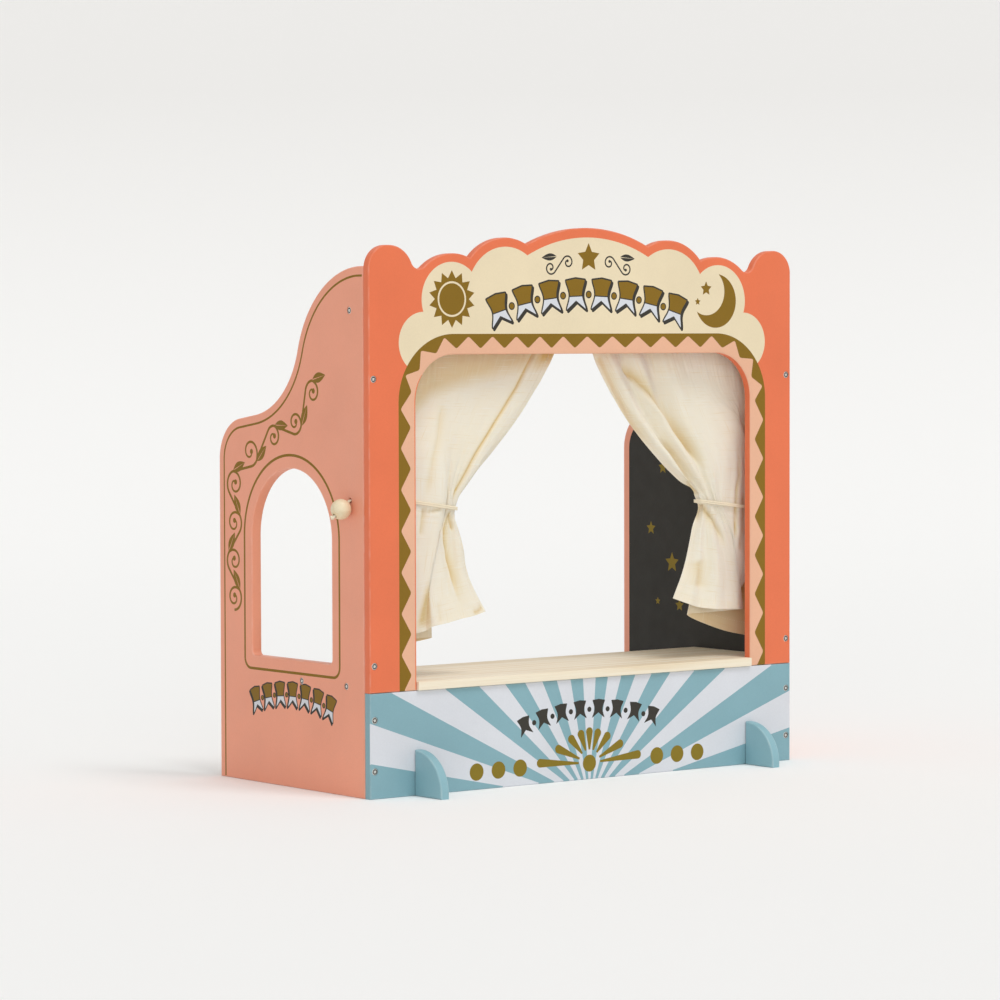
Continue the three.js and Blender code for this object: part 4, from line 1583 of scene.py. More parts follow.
@dataclass
class LowerBoard:
    """The board under the stage, with its printed sunburst and fan."""

    height: float = 107.25
    ray_drop: float = 22.6
    ray_pitch: float = 14.9
    ray_half: float = 3.8
    ray_reach: float = 420.0
    disc: tuple[float, float, float] = (0.0, 17.0, 9.0)
    petal_root: float = 14.5
    petal_tip: float = 4.6
    petal_foot: float = 1.1
    petals_by_lean: tuple[tuple[int, int], ...] = ((0, 38), (20, 38), (42, 41), (67, 50), (86, 71))
    dot_places: tuple[float, ...] = (93.0, 121.5, 150.0)
    dot_height: float = 18.5
    overprint: float = 1.0

    def rays(self) -> list[Points]:
        """The white rays, cut just outside the board.

        Returns:
            The rays' outlines.
        """
        past = self.overprint
        low, high = (-BODY.half - past, -past), (BODY.half + past, self.height + past)
        heart = np.array((0.0, -self.ray_drop))
        made = []
        for k in range(-5, 6):
            angles = np.radians(90 - k * self.ray_pitch + np.array((-1, 1)) * self.ray_half)
            far = heart + self.ray_reach * unit(angles)
            ray = clipped(np.vstack((heart, far)), low, high)
            if len(ray) > 2:
                made.append(counterclockwise(ray))
        return made

    def petals(self) -> list[Points]:
        """The fan's petals, from flat on one side over the top to flat on the other.

        Returns:
            The petals' outlines.
        """
        heart = np.array(self.disc[:2])
        made = []
        for lean, reach in self.petals_by_lean:
            for sign in (1, -1) if lean else (1,):
                angle = math.radians(90 - sign * lean)
                way = unit(angle)
                line = np.array([heart + way * d for d in (self.petal_root, reach - self.petal_tip)])
                aside = leftward(way)
                turn = math.degrees(angle)
                tip = arc(line[1], self.petal_tip, turn - 90, turn + 90)
                root = np.array((line[0] + aside * self.petal_foot, line[0] - aside * self.petal_foot))
                made.append(counterclockwise(chained(tip, root)))
        return made

    def build(self) -> Thing:
        """The board with its rays, fan, dots and a row of plain banners.

        Returns:
            The board, dressed.
        """
        middles = [(s * x, self.dot_height) for s in (1, -1) for x in self.dot_places]
        dots = [circle(middle, self.disc[2]) for middle in middles]
        row = Banners((0.0, 74.0), 300.0, count=8, pitch=25.0, width=17.0, height=19.0, line=0.0, stud=2.8)
        flags = [row.turned(row.shape(), place, lean) for place, lean in row.spots(0.0)]
        studs = [circle(place, row.stud, 20) for place, _ in row.spots(0.5)[:-1]]
        prints = [
            Print(WHITE, self.rays()),
            Print(MOSS, [*self.petals(), circle(self.disc[:2], self.disc[2]), *dots]),
            Print(DARK, [*flags, *studs]),
        ]
        corners = np.array(
            ((-BODY.half, 0), (BODY.half, 0), (BODY.half, self.height), (-BODY.half, self.height)),
            float,
        )
        board = Board(
            "lower_board", FACING_FRONT, corners, BODY.front, TEAL, front_prints=prints,
            front_screws=BODY.front_screws(BODY.lower_screws),
            back_screws=BODY.paired(BODY.foot_pitch / 2, BODY.foot_screws),
        )
        return seat(board.build(), "carcass", "teal_paint", "front_lower_board")


@dataclass
class SideBoard:
    """A stepped side board; the left one has the ticket window, the right one the chalkboard."""

    side: Side
    drop: float = 42.25
    brow_radius: float = 116.5
    brow_inset: float = 14.0
    sweep_radius: float = 95.0
    shoulder_radius: float = 44.0
    shoulder_height: float = 382.0
    shoulder_run: float = 31.0
    window_width: float = 145.0
    window_height: float = 198.5
    window_sill: float = 133.0
    window_setback: float = 138.75
    window_corner: float = 5.0
    stripe_inset: float = 9.4
    stripe: float = 2.2
    window_stripe: float = 2.8
    pull_hole: float = 2.75
    vine: float = 2.8
    vine_taper: float = 0.9
    vine_wind: float = 400.0
    leaf_width: float = 10.5
    stripe_end: float = 1.5
    window_line: tuple[float, float] = (13.6, 11.0)
    chalk_margin: float = 10.0
    star_share: float = 0.47

    def curve(self) -> Points:
        """The board's shaped edge from the foot of its back to its front, with y across.

        Returns:
            The open line.
        """
        shoulder = np.array(
            (BODY.depth - self.shoulder_radius, self.shoulder_height - self.shoulder_radius)
        )
        brow = np.array((self.brow_inset, BODY.height - self.drop - self.brow_radius))
        both = self.shoulder_radius + self.sweep_radius
        reach = math.hypot(self.shoulder_run, both)
        sweep = meet(brow, self.brow_radius + self.sweep_radius, shoulder, reach)
        end = bearing(shoulder, sweep) - math.degrees(math.acos(both / reach))
        front = BODY.front + BODY.gap
        rise = brow[1] + math.sqrt(self.brow_radius**2 - (front - self.brow_inset) ** 2)
        return np.vstack(
            (
                ((BODY.depth, 0.0),), arc(shoulder, self.shoulder_radius, 0, end),
                arc(sweep, self.sweep_radius, end + 180, bearing(sweep, brow) + 360),
                arc(brow, self.brow_radius, bearing(brow, sweep), bearing(brow, (front, rise))),
            )
        )

    def outline(self) -> Points:
        """The closed outline with y across, counterclockwise."""
        return chained(np.array(((BODY.front + BODY.gap, 0.0),)), self.curve())

    def window(self, grow: float, corner: float) -> Points:
        """The ticket window's outline, grown by a distance, counterclockwise.

        Args:
            grow: how far it is grown.
            corner: the radius of its lower corners.

        Returns:
            The closed outline.
        """
        half = self.window_width / 2
        spring = self.window_sill + self.window_height - half
        reach = half + grow - corner
        low = self.window_sill - grow + corner
        middle = self.window_setback
        return chained(
            arc((middle + reach, low), corner, -90, 0), arc((middle, spring), half + grow, 0, 180),
            arc((middle - reach, low), corner, 180, 270),
        )

    def stripe_line(self) -> Points:
        """The pinstripe's middle line, along the shaped edge.

        Returns:
            The open line.
        """
        closed = inset(self.outline(), self.stripe_inset)
        kept = closed[(closed[:, 0] > BODY.front + self.stripe_inset + 1.0) & (closed[:, 1] > 12)]
        start = np.array(((BODY.depth - self.stripe_inset, self.stripe_end),))
        end = np.array(((BODY.front + BODY.gap + self.stripe_end, kept[-1][1]),))
        return np.vstack((start, kept, end))

    def vine_loops(self) -> list[Points]:
        """A stem that winds between the pinstripe and the window, with curls and leaves.

        Returns:
            The closed outlines, leaves last.
        """
        curls = (
            ((244.5, 192.0), 13.0), ((244.0, 231.0), 13.5), ((244.0, 271.0), 13.5),
            ((242.5, 312.0), 14.0), ((214.0, 347.0), 15.5), ((170.0, 363.0), 12.0),
            ((131.0, 379.0), 12.0), ((99.0, 410.0), 12.5),
        )
        centres = [np.array(c) for c, _ in curls]
        radii = [r for _, r in curls]
        stem, made, leaves = [], [], []
        arrive = -90.0
        for k, (centre, radius) in enumerate(zip(centres, radii)):
            hand = 1 if k % 2 else -1
            leave = 90.0 if k % 2 else 100.0
            if k + 1 < len(curls):
                span = centres[k + 1] - centre
                lean = math.degrees(math.acos((radius + radii[k + 1]) / np.linalg.norm(span)))
                leave = bearing(centre, centres[k + 1]) - hand * lean
            turn = (leave - arrive) * hand % 360
            stem.append(arc(centre, radius, arrive, arrive + hand * turn))
            share = np.linspace(0, 1, 44)
            angles = np.radians(leave + hand * share * self.vine_wind)
            reach = radius * (1 - 0.8 * share**0.75)
            curl = centre + reach[:, None] * unit(angles)
            made.append(ribbon(curl, self.vine - self.vine_taper * share))
            made.append(circle(curl[-1], self.vine, 18))
            out = unit(math.radians(leave))
            way = leftward(out) * hand
            base, tip = centre + out * (radius + 1.0), centre + out * (radius + 6.0) + way * 23
            leaves += leaf(base, tip, self.leaf_width)
            arrive = leave + 180.0
        made.append(ribbon(np.vstack(stem), self.vine))
        return made + leaves

    def left_prints(self) -> list[Print]:
        """The left board's pinstripe, window outline, vine and row of banners.

        Returns:
            The prints, the topmost last.
        """
        row = Banners((137.0, 96.0), 240.0, count=7, pitch=22.5, width=16.5, height=24.0, line=1.4, stud=1.9)
        stripes = [counterclockwise(ribbon(self.stripe_line(), self.stripe))]
        window = band(self.window(*self.window_line), self.window_stripe)
        vine = [Print(OLIVE, [counterclockwise(loop)]) for loop in self.vine_loops()]
        return [Print(OLIVE, stripes), Print(OLIVE, window), *vine, *row.prints()]

    def right_prints(self) -> list[Print]:
        """The right board's chalk field inside a painted margin, with stars.

        Returns:
            The prints, the topmost last.
        """
        places = ((223, 248, 7), (186, 210, 10.5), (202, 318, 7), (211, 165, 4), (173, 162, 6.5))
        stars = [star((y, z), size * 1.15, share=self.star_share) for y, z, size in places]
        return [Print(SLATE, [inset(self.outline(), self.chalk_margin)]), Print(MOSS, stars)]

    def build(self) -> Thing:
        """The board, standing with its printed face towards the left.

        Returns:
            The board, dressed.
        """
        left = self.side is Side.LEFT
        prints = self.left_prints() if left else self.right_prints()
        prints = [Print(p.finish, [mirrored(loop) for loop in p.loops]) for p in prints]
        pull = circle((BODY.rod_setback, BODY.pull_height), self.pull_hole, 20)
        holes = [mirrored(pull)[::-1]]
        if left:
            holes.append(mirrored(self.window(0.0, self.window_corner))[::-1])
        places = [(-y, z) for y, z in BODY.side_screws]
        stance = Stance((-BODY.half if left else BODY.inner, 0, 0), (0, -1, 0), (0, 0, 1))
        board = Board(
            f"{self.side.word}_board", stance, mirrored(self.outline()), BODY.side, PINK,
            holes=holes, front_prints=prints, front_screws=places if left else (),
            back_screws=() if left else places,
        )
        node = f"{self.side.word}_side_board"
        return seat(board.build(), "carcass", "pink_paint", node)


@dataclass
class StageShelf:
    """The bare wooden shelf, let through the opening."""

    depth: float = 150.0
    nosing: float = 3.0

    def build(self) -> Thing:
        """The shelf with its tongue to the front.

        Returns:
            The shelf, dressed.
        """
        tongue, wide = BODY.opening_half - BODY.gap, BODY.inner - BODY.gap
        front, back = BODY.front + BODY.gap, self.depth - self.nosing
        outline = np.array(
            (
                (-tongue, -self.nosing), (tongue, -self.nosing), (tongue, front), (wide, front),
                (wide, back), (-wide, back), (-wide, front), (-tongue, front),
            )
        )
        stance = Stance((0, 0, BODY.seam + BODY.shelf), (1, 0, 0), (0, 1, 0))
        board = Board("shelf", stance, outline, BODY.shelf, PINE, edge=0.7)
        return seat(board.build(), "carcass", "pale_wood", "stage_shelf")


@dataclass
class Foot:
    """A quarter-round foot against the lower board."""

    side: Side
    thickness: float = 10.5
    reach: float = 45.0
    height: float = 47.0
    toe: float = 5.0

    def build(self) -> Thing:
        """The foot, standing across the front.

        Returns:
            The foot, dressed.
        """
        heel = -BODY.gap
        turn = np.radians(np.linspace(180, 90, 30))
        quarter = (heel, self.toe) + unit(turn) * (self.reach - BODY.gap, self.height - self.toe)
        outline = chained(quarter, np.array(((heel, 0.0), (-self.reach, 0.0))))
        outline = counterclockwise(mirrored(outline))
        left = self.side.value * BODY.foot_pitch / 2 - self.thickness / 2
        stance = Stance((left, 0, 0), (0, -1, 0), (0, 0, 1))
        name = f"{self.side.word}_foot"
        board = Board(f"{name}_block", stance, outline, self.thickness, FOOT_TEAL, edge=1.5)
        return seat(board.build(), "carcass", "teal_paint", name)


# Repeated pieces, by Geometry Nodes


class Rule:
    """A Geometry Nodes tree with named inputs, run once on a mesh and then taken off."""

    def __init__(self, name: str, sizes: dict[str, object]) -> None:
        """Makes the tree and its inputs.

        Args:
            name: the tree's name.
            sizes: its inputs and their values by name: numbers, or an object.
        """
        self.data = bpy.data.node_groups.new(name, "GeometryNodeTree")
        face = self.data.interface
        face.new_socket("Geometry", in_out="INPUT", socket_type="NodeSocketGeometry")
        face.new_socket("Geometry", in_out="OUTPUT", socket_type="NodeSocketGeometry")
        self.values: dict[str, object] = {}
        for key, value in sizes.items():
            kinds = {int: "NodeSocketInt", float: "NodeSocketFloat"}
            kind = kinds.get(type(value), "NodeSocketObject")
            socket = face.new_socket(key, in_out="INPUT", socket_type=kind)
            self.values[socket.identifier] = value
        self.tree = Tree(self.data)
        self.inputs = self.tree.add("NodeGroupInput").outputs
        self.end = self.tree.add("NodeGroupOutput").inputs[0]

    def named(self, key: str, kind: str = "FLOAT_VECTOR") -> Socket:
        """An attribute of the points."""
        return self.tree.out("GeometryNodeInputNamedAttribute", {0: key}, data_type=kind)

    def close(self, geometry: Socket, finish: Finish) -> None:
        """Makes the instances real, gives them a finish and ends the tree.

        Args:
            geometry: the tree's instances.
            finish: their finish.
        """
        real = self.tree.out("GeometryNodeRealizeInstances", {0: geometry})
        inputs = {"Geometry": real, "Material": finish.material()}
        dressed = self.tree.out("GeometryNodeSetMaterial", inputs)
        self.data.links.new(dressed, self.end)

    def run(self, name: str, mesh: bpy.types.Mesh) -> Thing:
        """Runs the tree on a mesh of points.

        Args:
            name: the made piece's name.
            mesh: the points with their attributes, in metres.

        Returns:
            The piece as a plain mesh, with no modifier.
        """
        source = placed(f"{name}_points", mesh)
        modifier = source.modifiers.new("rule", "NODES")
        modifier.node_group = self.data
        for key, value in self.values.items():
            modifier[key] = value
        source.update_tag()
        bpy.context.view_layer.update()
        graph = bpy.context.evaluated_depsgraph_get()
        result = bpy.data.meshes.new_from_object(source.evaluated_get(graph), depsgraph=graph)
        source.modifiers.clear()
        bpy.data.objects.remove(source)
        result.name = name
        return placed(name, result)


def dotted(points: Points, **attributes: Points) -> bpy.types.Mesh:
    """A mesh of loose points with attributes.

    Args:
        points: places in millimetres from the front face.
        attributes: one number or vector for each point, by name.

    Returns:
        The mesh.
    """
    mesh = bpy.data.meshes.new("points")
    mesh.from_pydata(SITE.metres(points).tolist(), [], [])
    for key, values in attributes.items():
        values = np.asarray(values, np.float32)
        flat = values.ndim == 1
        made = mesh.attributes.new(key, "FLOAT" if flat else "FLOAT_VECTOR", "POINT")
        made.data.foreach_set("value" if flat else "vector", values.ravel())
    return mesh


@dataclass
class Screws:
    """The countersunk cross-head screws that hold the boards together."""

    head: float = 3.5
    rim: float = 0.4
    cone: float = 2.6
    shank: float = 1.75
    sunk: float = 0.4
    recess_length: float = 4.4
    recess_width: float = 1.4
    recess_depth: float = 2.0
    long: float = 30.0
    short: float = 25.0
    seed: int = 7
    sides: int = 24
    head_round: tuple[float, float] = (0.25, 0.14)
    recess_taper: float = 0.55

    def template(self) -> Thing:
        """One screw's head with its cross recess, pointing up, in metres.

        Returns:
            The head as an object, to be removed after use.
        """
        half, slim = self.recess_length / 2, self.recess_width / 2
        quarter = [(slim, slim), (slim, half), (-slim, half)]
        cross = []
        for k in range(4):
            c, s = math.cos(k * math.pi / 2), math.sin(k * math.pi / 2)
            cross += [(x * c - y * s, x * s + y * c) for x, y in quarter]
        cross = np.array(cross)
        corners, sides = len(cross), self.sides
        outside = 2 * corners
        rings = (
            (self.head - self.head_round[0], 0.0), (self.head, -self.head_round[1]),
            (self.head, -self.rim), (self.shank, -self.cone),
        )
        points = [(x, y, 0.0) for x, y in cross]
        points += [(x, y, -self.recess_depth) for x, y in cross * self.recess_taper]
        points += [(x, y, z) for r, z in rings for x, y in circle((0, 0), r, sides)]
        kept = [*range(corners), *range(outside, outside + sides)]
        spots = [Vector(points[k][:2]) for k in kept]
        lines = [(i, (i + 1) % corners) for i in range(corners)]
        lines += [(corners + i, corners + (i + 1) % sides) for i in range(sides)]
        _, _, top, *_ = delaunay_2d_cdt(spots, lines, [], 0, 1e-6)
        middles = np.array([np.mean([spots[i] for i in t], axis=0) for t in top])
        shown = winding(middles, cross) == 0
        faces = [tuple(kept[i] for i in t) for t, k in zip(top, shown) if k]
        faces += wall(0, corners, corners, flip=True)
        faces.append(tuple(range(corners, outside)))
        starts = [outside + r * sides for r in range(len(rings))]
        for a, b in zip(starts, starts[1:]):
            faces += wall(a, b, sides)
        faces.append(tuple(starts[-1] + i for i in reversed(range(sides))))
        mesh = bpy.data.meshes.new("screw_head")
        mesh.from_pydata((np.array(points) * MM).tolist(), [], faces)
        # Marks the cross recess, where the steel's colour is painted dark as shade.
        recess = mesh.attributes.new("recess", "FLOAT", "POINT")
        recess.data.foreach_set("value", [1.0] * outside + [0.0] * (len(points) - outside))
        mended(mesh)
        made = placed("screw_head", mesh)
        smooth(made, 30.0)
        return made

    def places(self) -> tuple[Points, Points, Points, list[str]]:
        """Every screw's head place, facing and length, and the node that it stands for.

        Returns:
            Places, facings, lengths and node names, in the same order.
        """
        rows: list[tuple] = []
        for side in SIDES:
            s = side.value
            edge, post = s * (BODY.half - self.sunk), s * (BODY.half - BODY.side / 2)
            *shelf, rod = [(edge, y, z) for y, z in BODY.side_screws]
            front = [(post, self.sunk, z) for z in (*BODY.lower_screws, *BODY.arch_screws)]
            foot = [(s * BODY.foot_pitch / 2, BODY.front - self.sunk, z) for z in BODY.foot_screws]
            for word, facing, length, spots in (
                ("front", (0, -1, 0), self.long, front), ("shelf", (s, 0, 0), self.long, shelf),
                ("rod", (s, 0, 0), self.long, [rod]), ("foot", (0, 1, 0), self.short, foot),
            ):
                for k, spot in enumerate(spots, 1):
                    rows.append((spot, facing, length, f"{side.word}_{word}_screw_{k}"))
        spots, facings, lengths, names = zip(*rows)
        return np.array(spots), np.array(facings), np.array(lengths), list(names)

    def build(self) -> Thing:
        """All the screws as one piece on the carcass.

        Returns:
            The screws, dressed.
        """
        places, facings, lengths, nodes = self.places()
        head = self.template()
        sizes = {"Head": head, "Shank radius": self.shank * MM, "Seed": self.seed}
        rule = Rule("screw_rule", sizes)
        tree, given = rule.tree, rule.inputs
        facing = {"Vector": rule.named("facing")}
        turn = tree.out("FunctionNodeAlignRotationToVector", facing, axis="Z")
        spin = tree.add(
            "FunctionNodeRandomValue", {2: 0.0, 3: math.tau, 8: given["Seed"]}, data_type="FLOAT"
        ).outputs[1]
        spun = tree.out("FunctionNodeEulerToRotation", {0: tree.out("ShaderNodeCombineXYZ", {2: spin})})
        turned = tree.out("FunctionNodeRotateRotation", {0: turn, 1: spun}, rotation_space="LOCAL")
        shown = tree.add("GeometryNodeObjectInfo", {"Object": given["Head"]}).outputs["Geometry"]
        inputs = {"Points": given["Geometry"], "Instance": shown, "Rotation": turned}
        heads = tree.out("GeometryNodeInstanceOnPoints", inputs)
        sizes = {"Vertices": 12, "Radius": given["Shank radius"], "Depth": 1.0}
        rod = tree.out("GeometryNodeMeshCylinder", sizes)
        hung = tree.out("GeometryNodeTransform", {"Geometry": rod, "Translation": (0, 0, -0.5)})
        scale = tree.out("ShaderNodeCombineXYZ", {0: 1.0, 1: 1.0, 2: rule.named("length", "FLOAT")})
        inputs = {**inputs, "Instance": hung, "Scale": scale}
        shanks = tree.out("GeometryNodeInstanceOnPoints", inputs)
        joined = tree.add("GeometryNodeJoinGeometry")
        for part in (heads, shanks):
            tree.tree.links.new(part, joined.inputs[0])
        rule.close(joined.outputs[0], ZINC)
        points = dotted(places, facing=facings, length=(lengths - self.recess_depth) * MM)
        made = rule.run("screws", points)
        bpy.data.objects.remove(head)
        return seat(made, "carcass", "zinc_steel", *nodes)


def stitches(name: str, points: Points, headings: Points, facings: Points) -> Thing:
    """Small stitches along a seam.

    Args:
        name: the piece's name.
        points: their middles in millimetres.
        headings: the seam's direction at each.
        facings: the cloth's outward direction at each.

    Returns:
        The piece.
    """
    rule = Rule(f"{name}_rule", {"Length": 2.2 * MM, "Thread": 0.27 * MM})
    tree, given = rule.tree, rule.inputs
    align = "FunctionNodeAlignRotationToVector"
    along = tree.out(align, {"Vector": rule.named("heading")}, axis="X")
    inputs = {"Rotation": along, "Vector": rule.named("facing")}
    turned = tree.out(align, inputs, axis="Z", pivot_axis="X")
    grain = tree.out("GeometryNodeMeshUVSphere", {"Segments": 6, "Rings": 4, "Radius": 1.0})
    half = tree.times(given["Length"], 0.5)
    scale = tree.out("ShaderNodeCombineXYZ", {0: half, 1: given["Thread"], 2: given["Thread"]})
    shape = tree.out("GeometryNodeTransform", {"Geometry": grain, "Scale": scale})
    inputs = {"Points": given["Geometry"], "Instance": shape, "Rotation": turned}
    sewn = tree.out("GeometryNodeInstanceOnPoints", inputs)
    rule.close(tree.out("GeometryNodeSetShadeSmooth", {"Geometry": sewn}), COTTON)
    return rule.run(name, dotted(points, heading=headings, facing=facings))


# Rod, cords and beads


def lathed(name: str, profile: Points, start: Points, axis: Points, finish: Finish) -> Thing:
    """A closed turned piece.

    Args:
        name: the piece's name.
        profile: radius and distance along the axis, as a closed counterclockwise outline or, where
            its ends are on the axis, an open one.
        start: where the axis starts.
        axis: its direction.
        finish: the piece's finish.

    Returns:
        The piece.
    """
    sides = 64
    axis = normalised(np.asarray(axis, float))
    aside = np.cross(axis, (0.0, 0.0, 1.0))
    if np.linalg.norm(aside) < 1e-6:
        aside = np.array((1.0, 0.0, 0.0))
    aside = normalised(aside)
    ring = circle((0.0, 0.0), 1.0, sides) @ np.array((aside, np.cross(axis, aside)))
    points = np.vstack([np.asarray(start) + axis * d + ring * r for r, d in profile])
    closed = profile[0][0] > 0
    rows = len(profile)
    faces = []
    for r in range(rows if closed else rows - 1):
        faces += wall(r * sides, (r + 1) % rows * sides, sides, flip=True)
    made = piece(name, points, faces, [finish])
    mended(made.data, 1e-6)
    smooth(made, 35.0)
    return made


@dataclass
class Rod:
    """The wooden rod that the curtains hang on."""

    radius: float = 5.0
    chamfer: float = 0.6

    def build(self) -> Thing:
        """The rod between the side boards.

        Returns:
            The rod, dressed.
        """
        length = 2 * (BODY.inner - BODY.gap)
        steps = np.linspace(0, length, 40)[1:-1]
        profile = [(0.0, 0.0), (self.radius - self.chamfer, 0.0), (self.radius, self.chamfer)]
        profile += [(self.radius, d) for d in steps]
        profile += [(self.radius, length - self.chamfer), (self.radius - self.chamfer, length)]
        profile.append((0.0, length))
        start = (-length / 2, BODY.rod_setback, BODY.rod_height)
        made = lathed("rod", np.array(profile), start, (1, 0, 0), PINE)
        return seat(made, "carcass", "pale_wood", "curtain_rod")


@dataclass
class Twist:
    """A cord twisted from three plies."""

    radius: float = 1.05
    plies: int = 3
    pitch: float = 5.5
    sides: int = 8
    step: float = 0.7
    ply_share: float = 0.52

    def strand(self, path: Points) -> tuple[Points, list[tuple[int, ...]]]:
        """The plies along a path.

        Args:
            path: the strand's middle line.

        Returns:
            Places and faces of closed tubes.
        """
        runs = travel(path)
        count = max(8, round(runs[-1] / self.step))
        spots = np.linspace(0, runs[-1], count + 1)
        line = sampled(path, runs, spots)
        ply = self.radius * self.ply_share
        points, faces = [], []
        for k in range(self.plies):
            angle = spots / self.pitch * math.tau + k * math.tau / self.plies
            middle = self.around(line, angle, self.radius - ply)
            start = sum(len(p) for p in points)
            for turn in np.linspace(0, math.tau, self.sides, endpoint=False):
                points.append(self.around(middle, np.full(count + 1, turn), ply))
            rows = count + 1
            for s in range(self.sides):
                a, b = start + s * rows, start + (s + 1) % self.sides * rows
                faces += [(a + i, b + i, b + i + 1, a + i + 1) for i in range(count)]
            ring = [start + s * rows for s in range(self.sides)]
            faces.append(tuple(reversed(ring)))
            faces.append(tuple(i + count for i in ring))
        return np.vstack(points), faces

    @staticmethod
    def around(line: Points, angle: Points, radius: float) -> Points:
        """Places beside a line, at an angle from level.

        Args:
            line: the line.
            angle: the angle at each of its points, in radians.
            radius: how far beside it.

        Returns:
            The places.
        """
        tangent = normalised(np.gradient(line, axis=0))
        level = normalised(np.cross(tangent, (0.0, 0.0, 1.0)))
        upright = np.cross(level, tangent)
        return line + radius * (np.cos(angle)[:, None] * level + np.sin(angle)[:, None] * upright)

    def piece(self, name: str, paths: Sequence[Points]) -> Thing:
        """Strands along several paths as one piece, with its normals outward.

        Args:
            name: the piece's name.
            paths: the strands' middle lines.

        Returns:
            The piece.
        """
        points, faces = [], []
        for path in paths:
            start = sum(len(p) for p in points)
            more, quads = self.strand(path)
            points.append(more)
            faces += [tuple(i + start for i in q) for q in quads]
        made = piece(name, np.vstack(points), faces, [COTTON])
        mended(made.data)
        smooth(made, 60.0)
        return made


@dataclass
class Pull:
    """The bead outside a side board, and its cord from the hole to a stopper knot."""

    side: Side
    bead: float = 10.5
    bore: float = 2.5
    drop: float = 8.5
    lap: float = 2.05
    gap: float = 0.3
    knot: float = 3.0
    chamfer: float = 0.7
    apart: float = 1.1
    knot_shape: tuple[float, float, float] = (0.62, 0.62, 0.9)

    def build(self) -> None:
        """Makes the bead, then the cord with its knot."""
        s, word = self.side.value, self.side.word
        hole = np.array((s * BODY.half, BODY.rod_setback, BODY.pull_height))
        place = hole + np.array((s * (self.bead + self.gap), 0.0, -self.drop))
        aim = normalised(hole - place)
        mouth = math.degrees(math.asin((self.bore + self.chamfer) / self.bead))
        outer = arc((0.0, 0.0), self.bead, -90 + mouth, 90 - mouth)
        lip = outer[-1] + np.array((-0.45, 0.1))
        half = math.sqrt(self.bead**2 - (self.bore + self.chamfer) ** 2)
        inner = [(self.bore, half - 0.75), (self.bore, 0.0), (self.bore, -half + 0.75)]
        profile = np.vstack((outer, (lip,), inner, ((lip[0], -lip[1]),)))
        made = lathed(f"{word}_bead", profile, place, aim, BEECH)
        seat(made, f"{word}_pull", "pale_wood", f"{word}_pull_bead")
        inside = hole - np.array((s * (BODY.side - self.lap), 0.0, 0.0))
        end = place - aim * (half + self.gap + self.knot)
        aside = np.array((0.0, self.apart, 0.0))
        route = np.array((inside, (inside + hole) / 2, hole, place + aim * (self.bead + 0.4), place, end))
        line = spline(route, 60)
        turns = np.linspace(0, math.tau, 90)
        trefoil = np.column_stack(
            (
                np.sin(turns) + 2 * np.sin(2 * turns), np.cos(turns) - 2 * np.cos(2 * turns),
                -np.sin(3 * turns),
            )
        )
        level = np.cross(aim, (0.0, 1.0, 0.0))
        frame = np.array((level, (0.0, 1.0, 0.0), aim))
        loop = end + (trefoil * self.knot_shape) @ frame
        cord = Twist().piece(f"{word}_cord", [line - aside, line + aside, loop])
        ends = np.array((inside, place + aim * self.bead))
        bend(cord, f"{word}_pull", ends, "cotton_cord", f"{word}_pull_cord")


# Curtains


@dataclass(frozen=True)
class Station:
    """One level of a curtain: its drops, its places across and its fold depths, as shares."""

    drops: tuple[float, ...]
    across: tuple[float, ...]
    depths: tuple[float, ...]


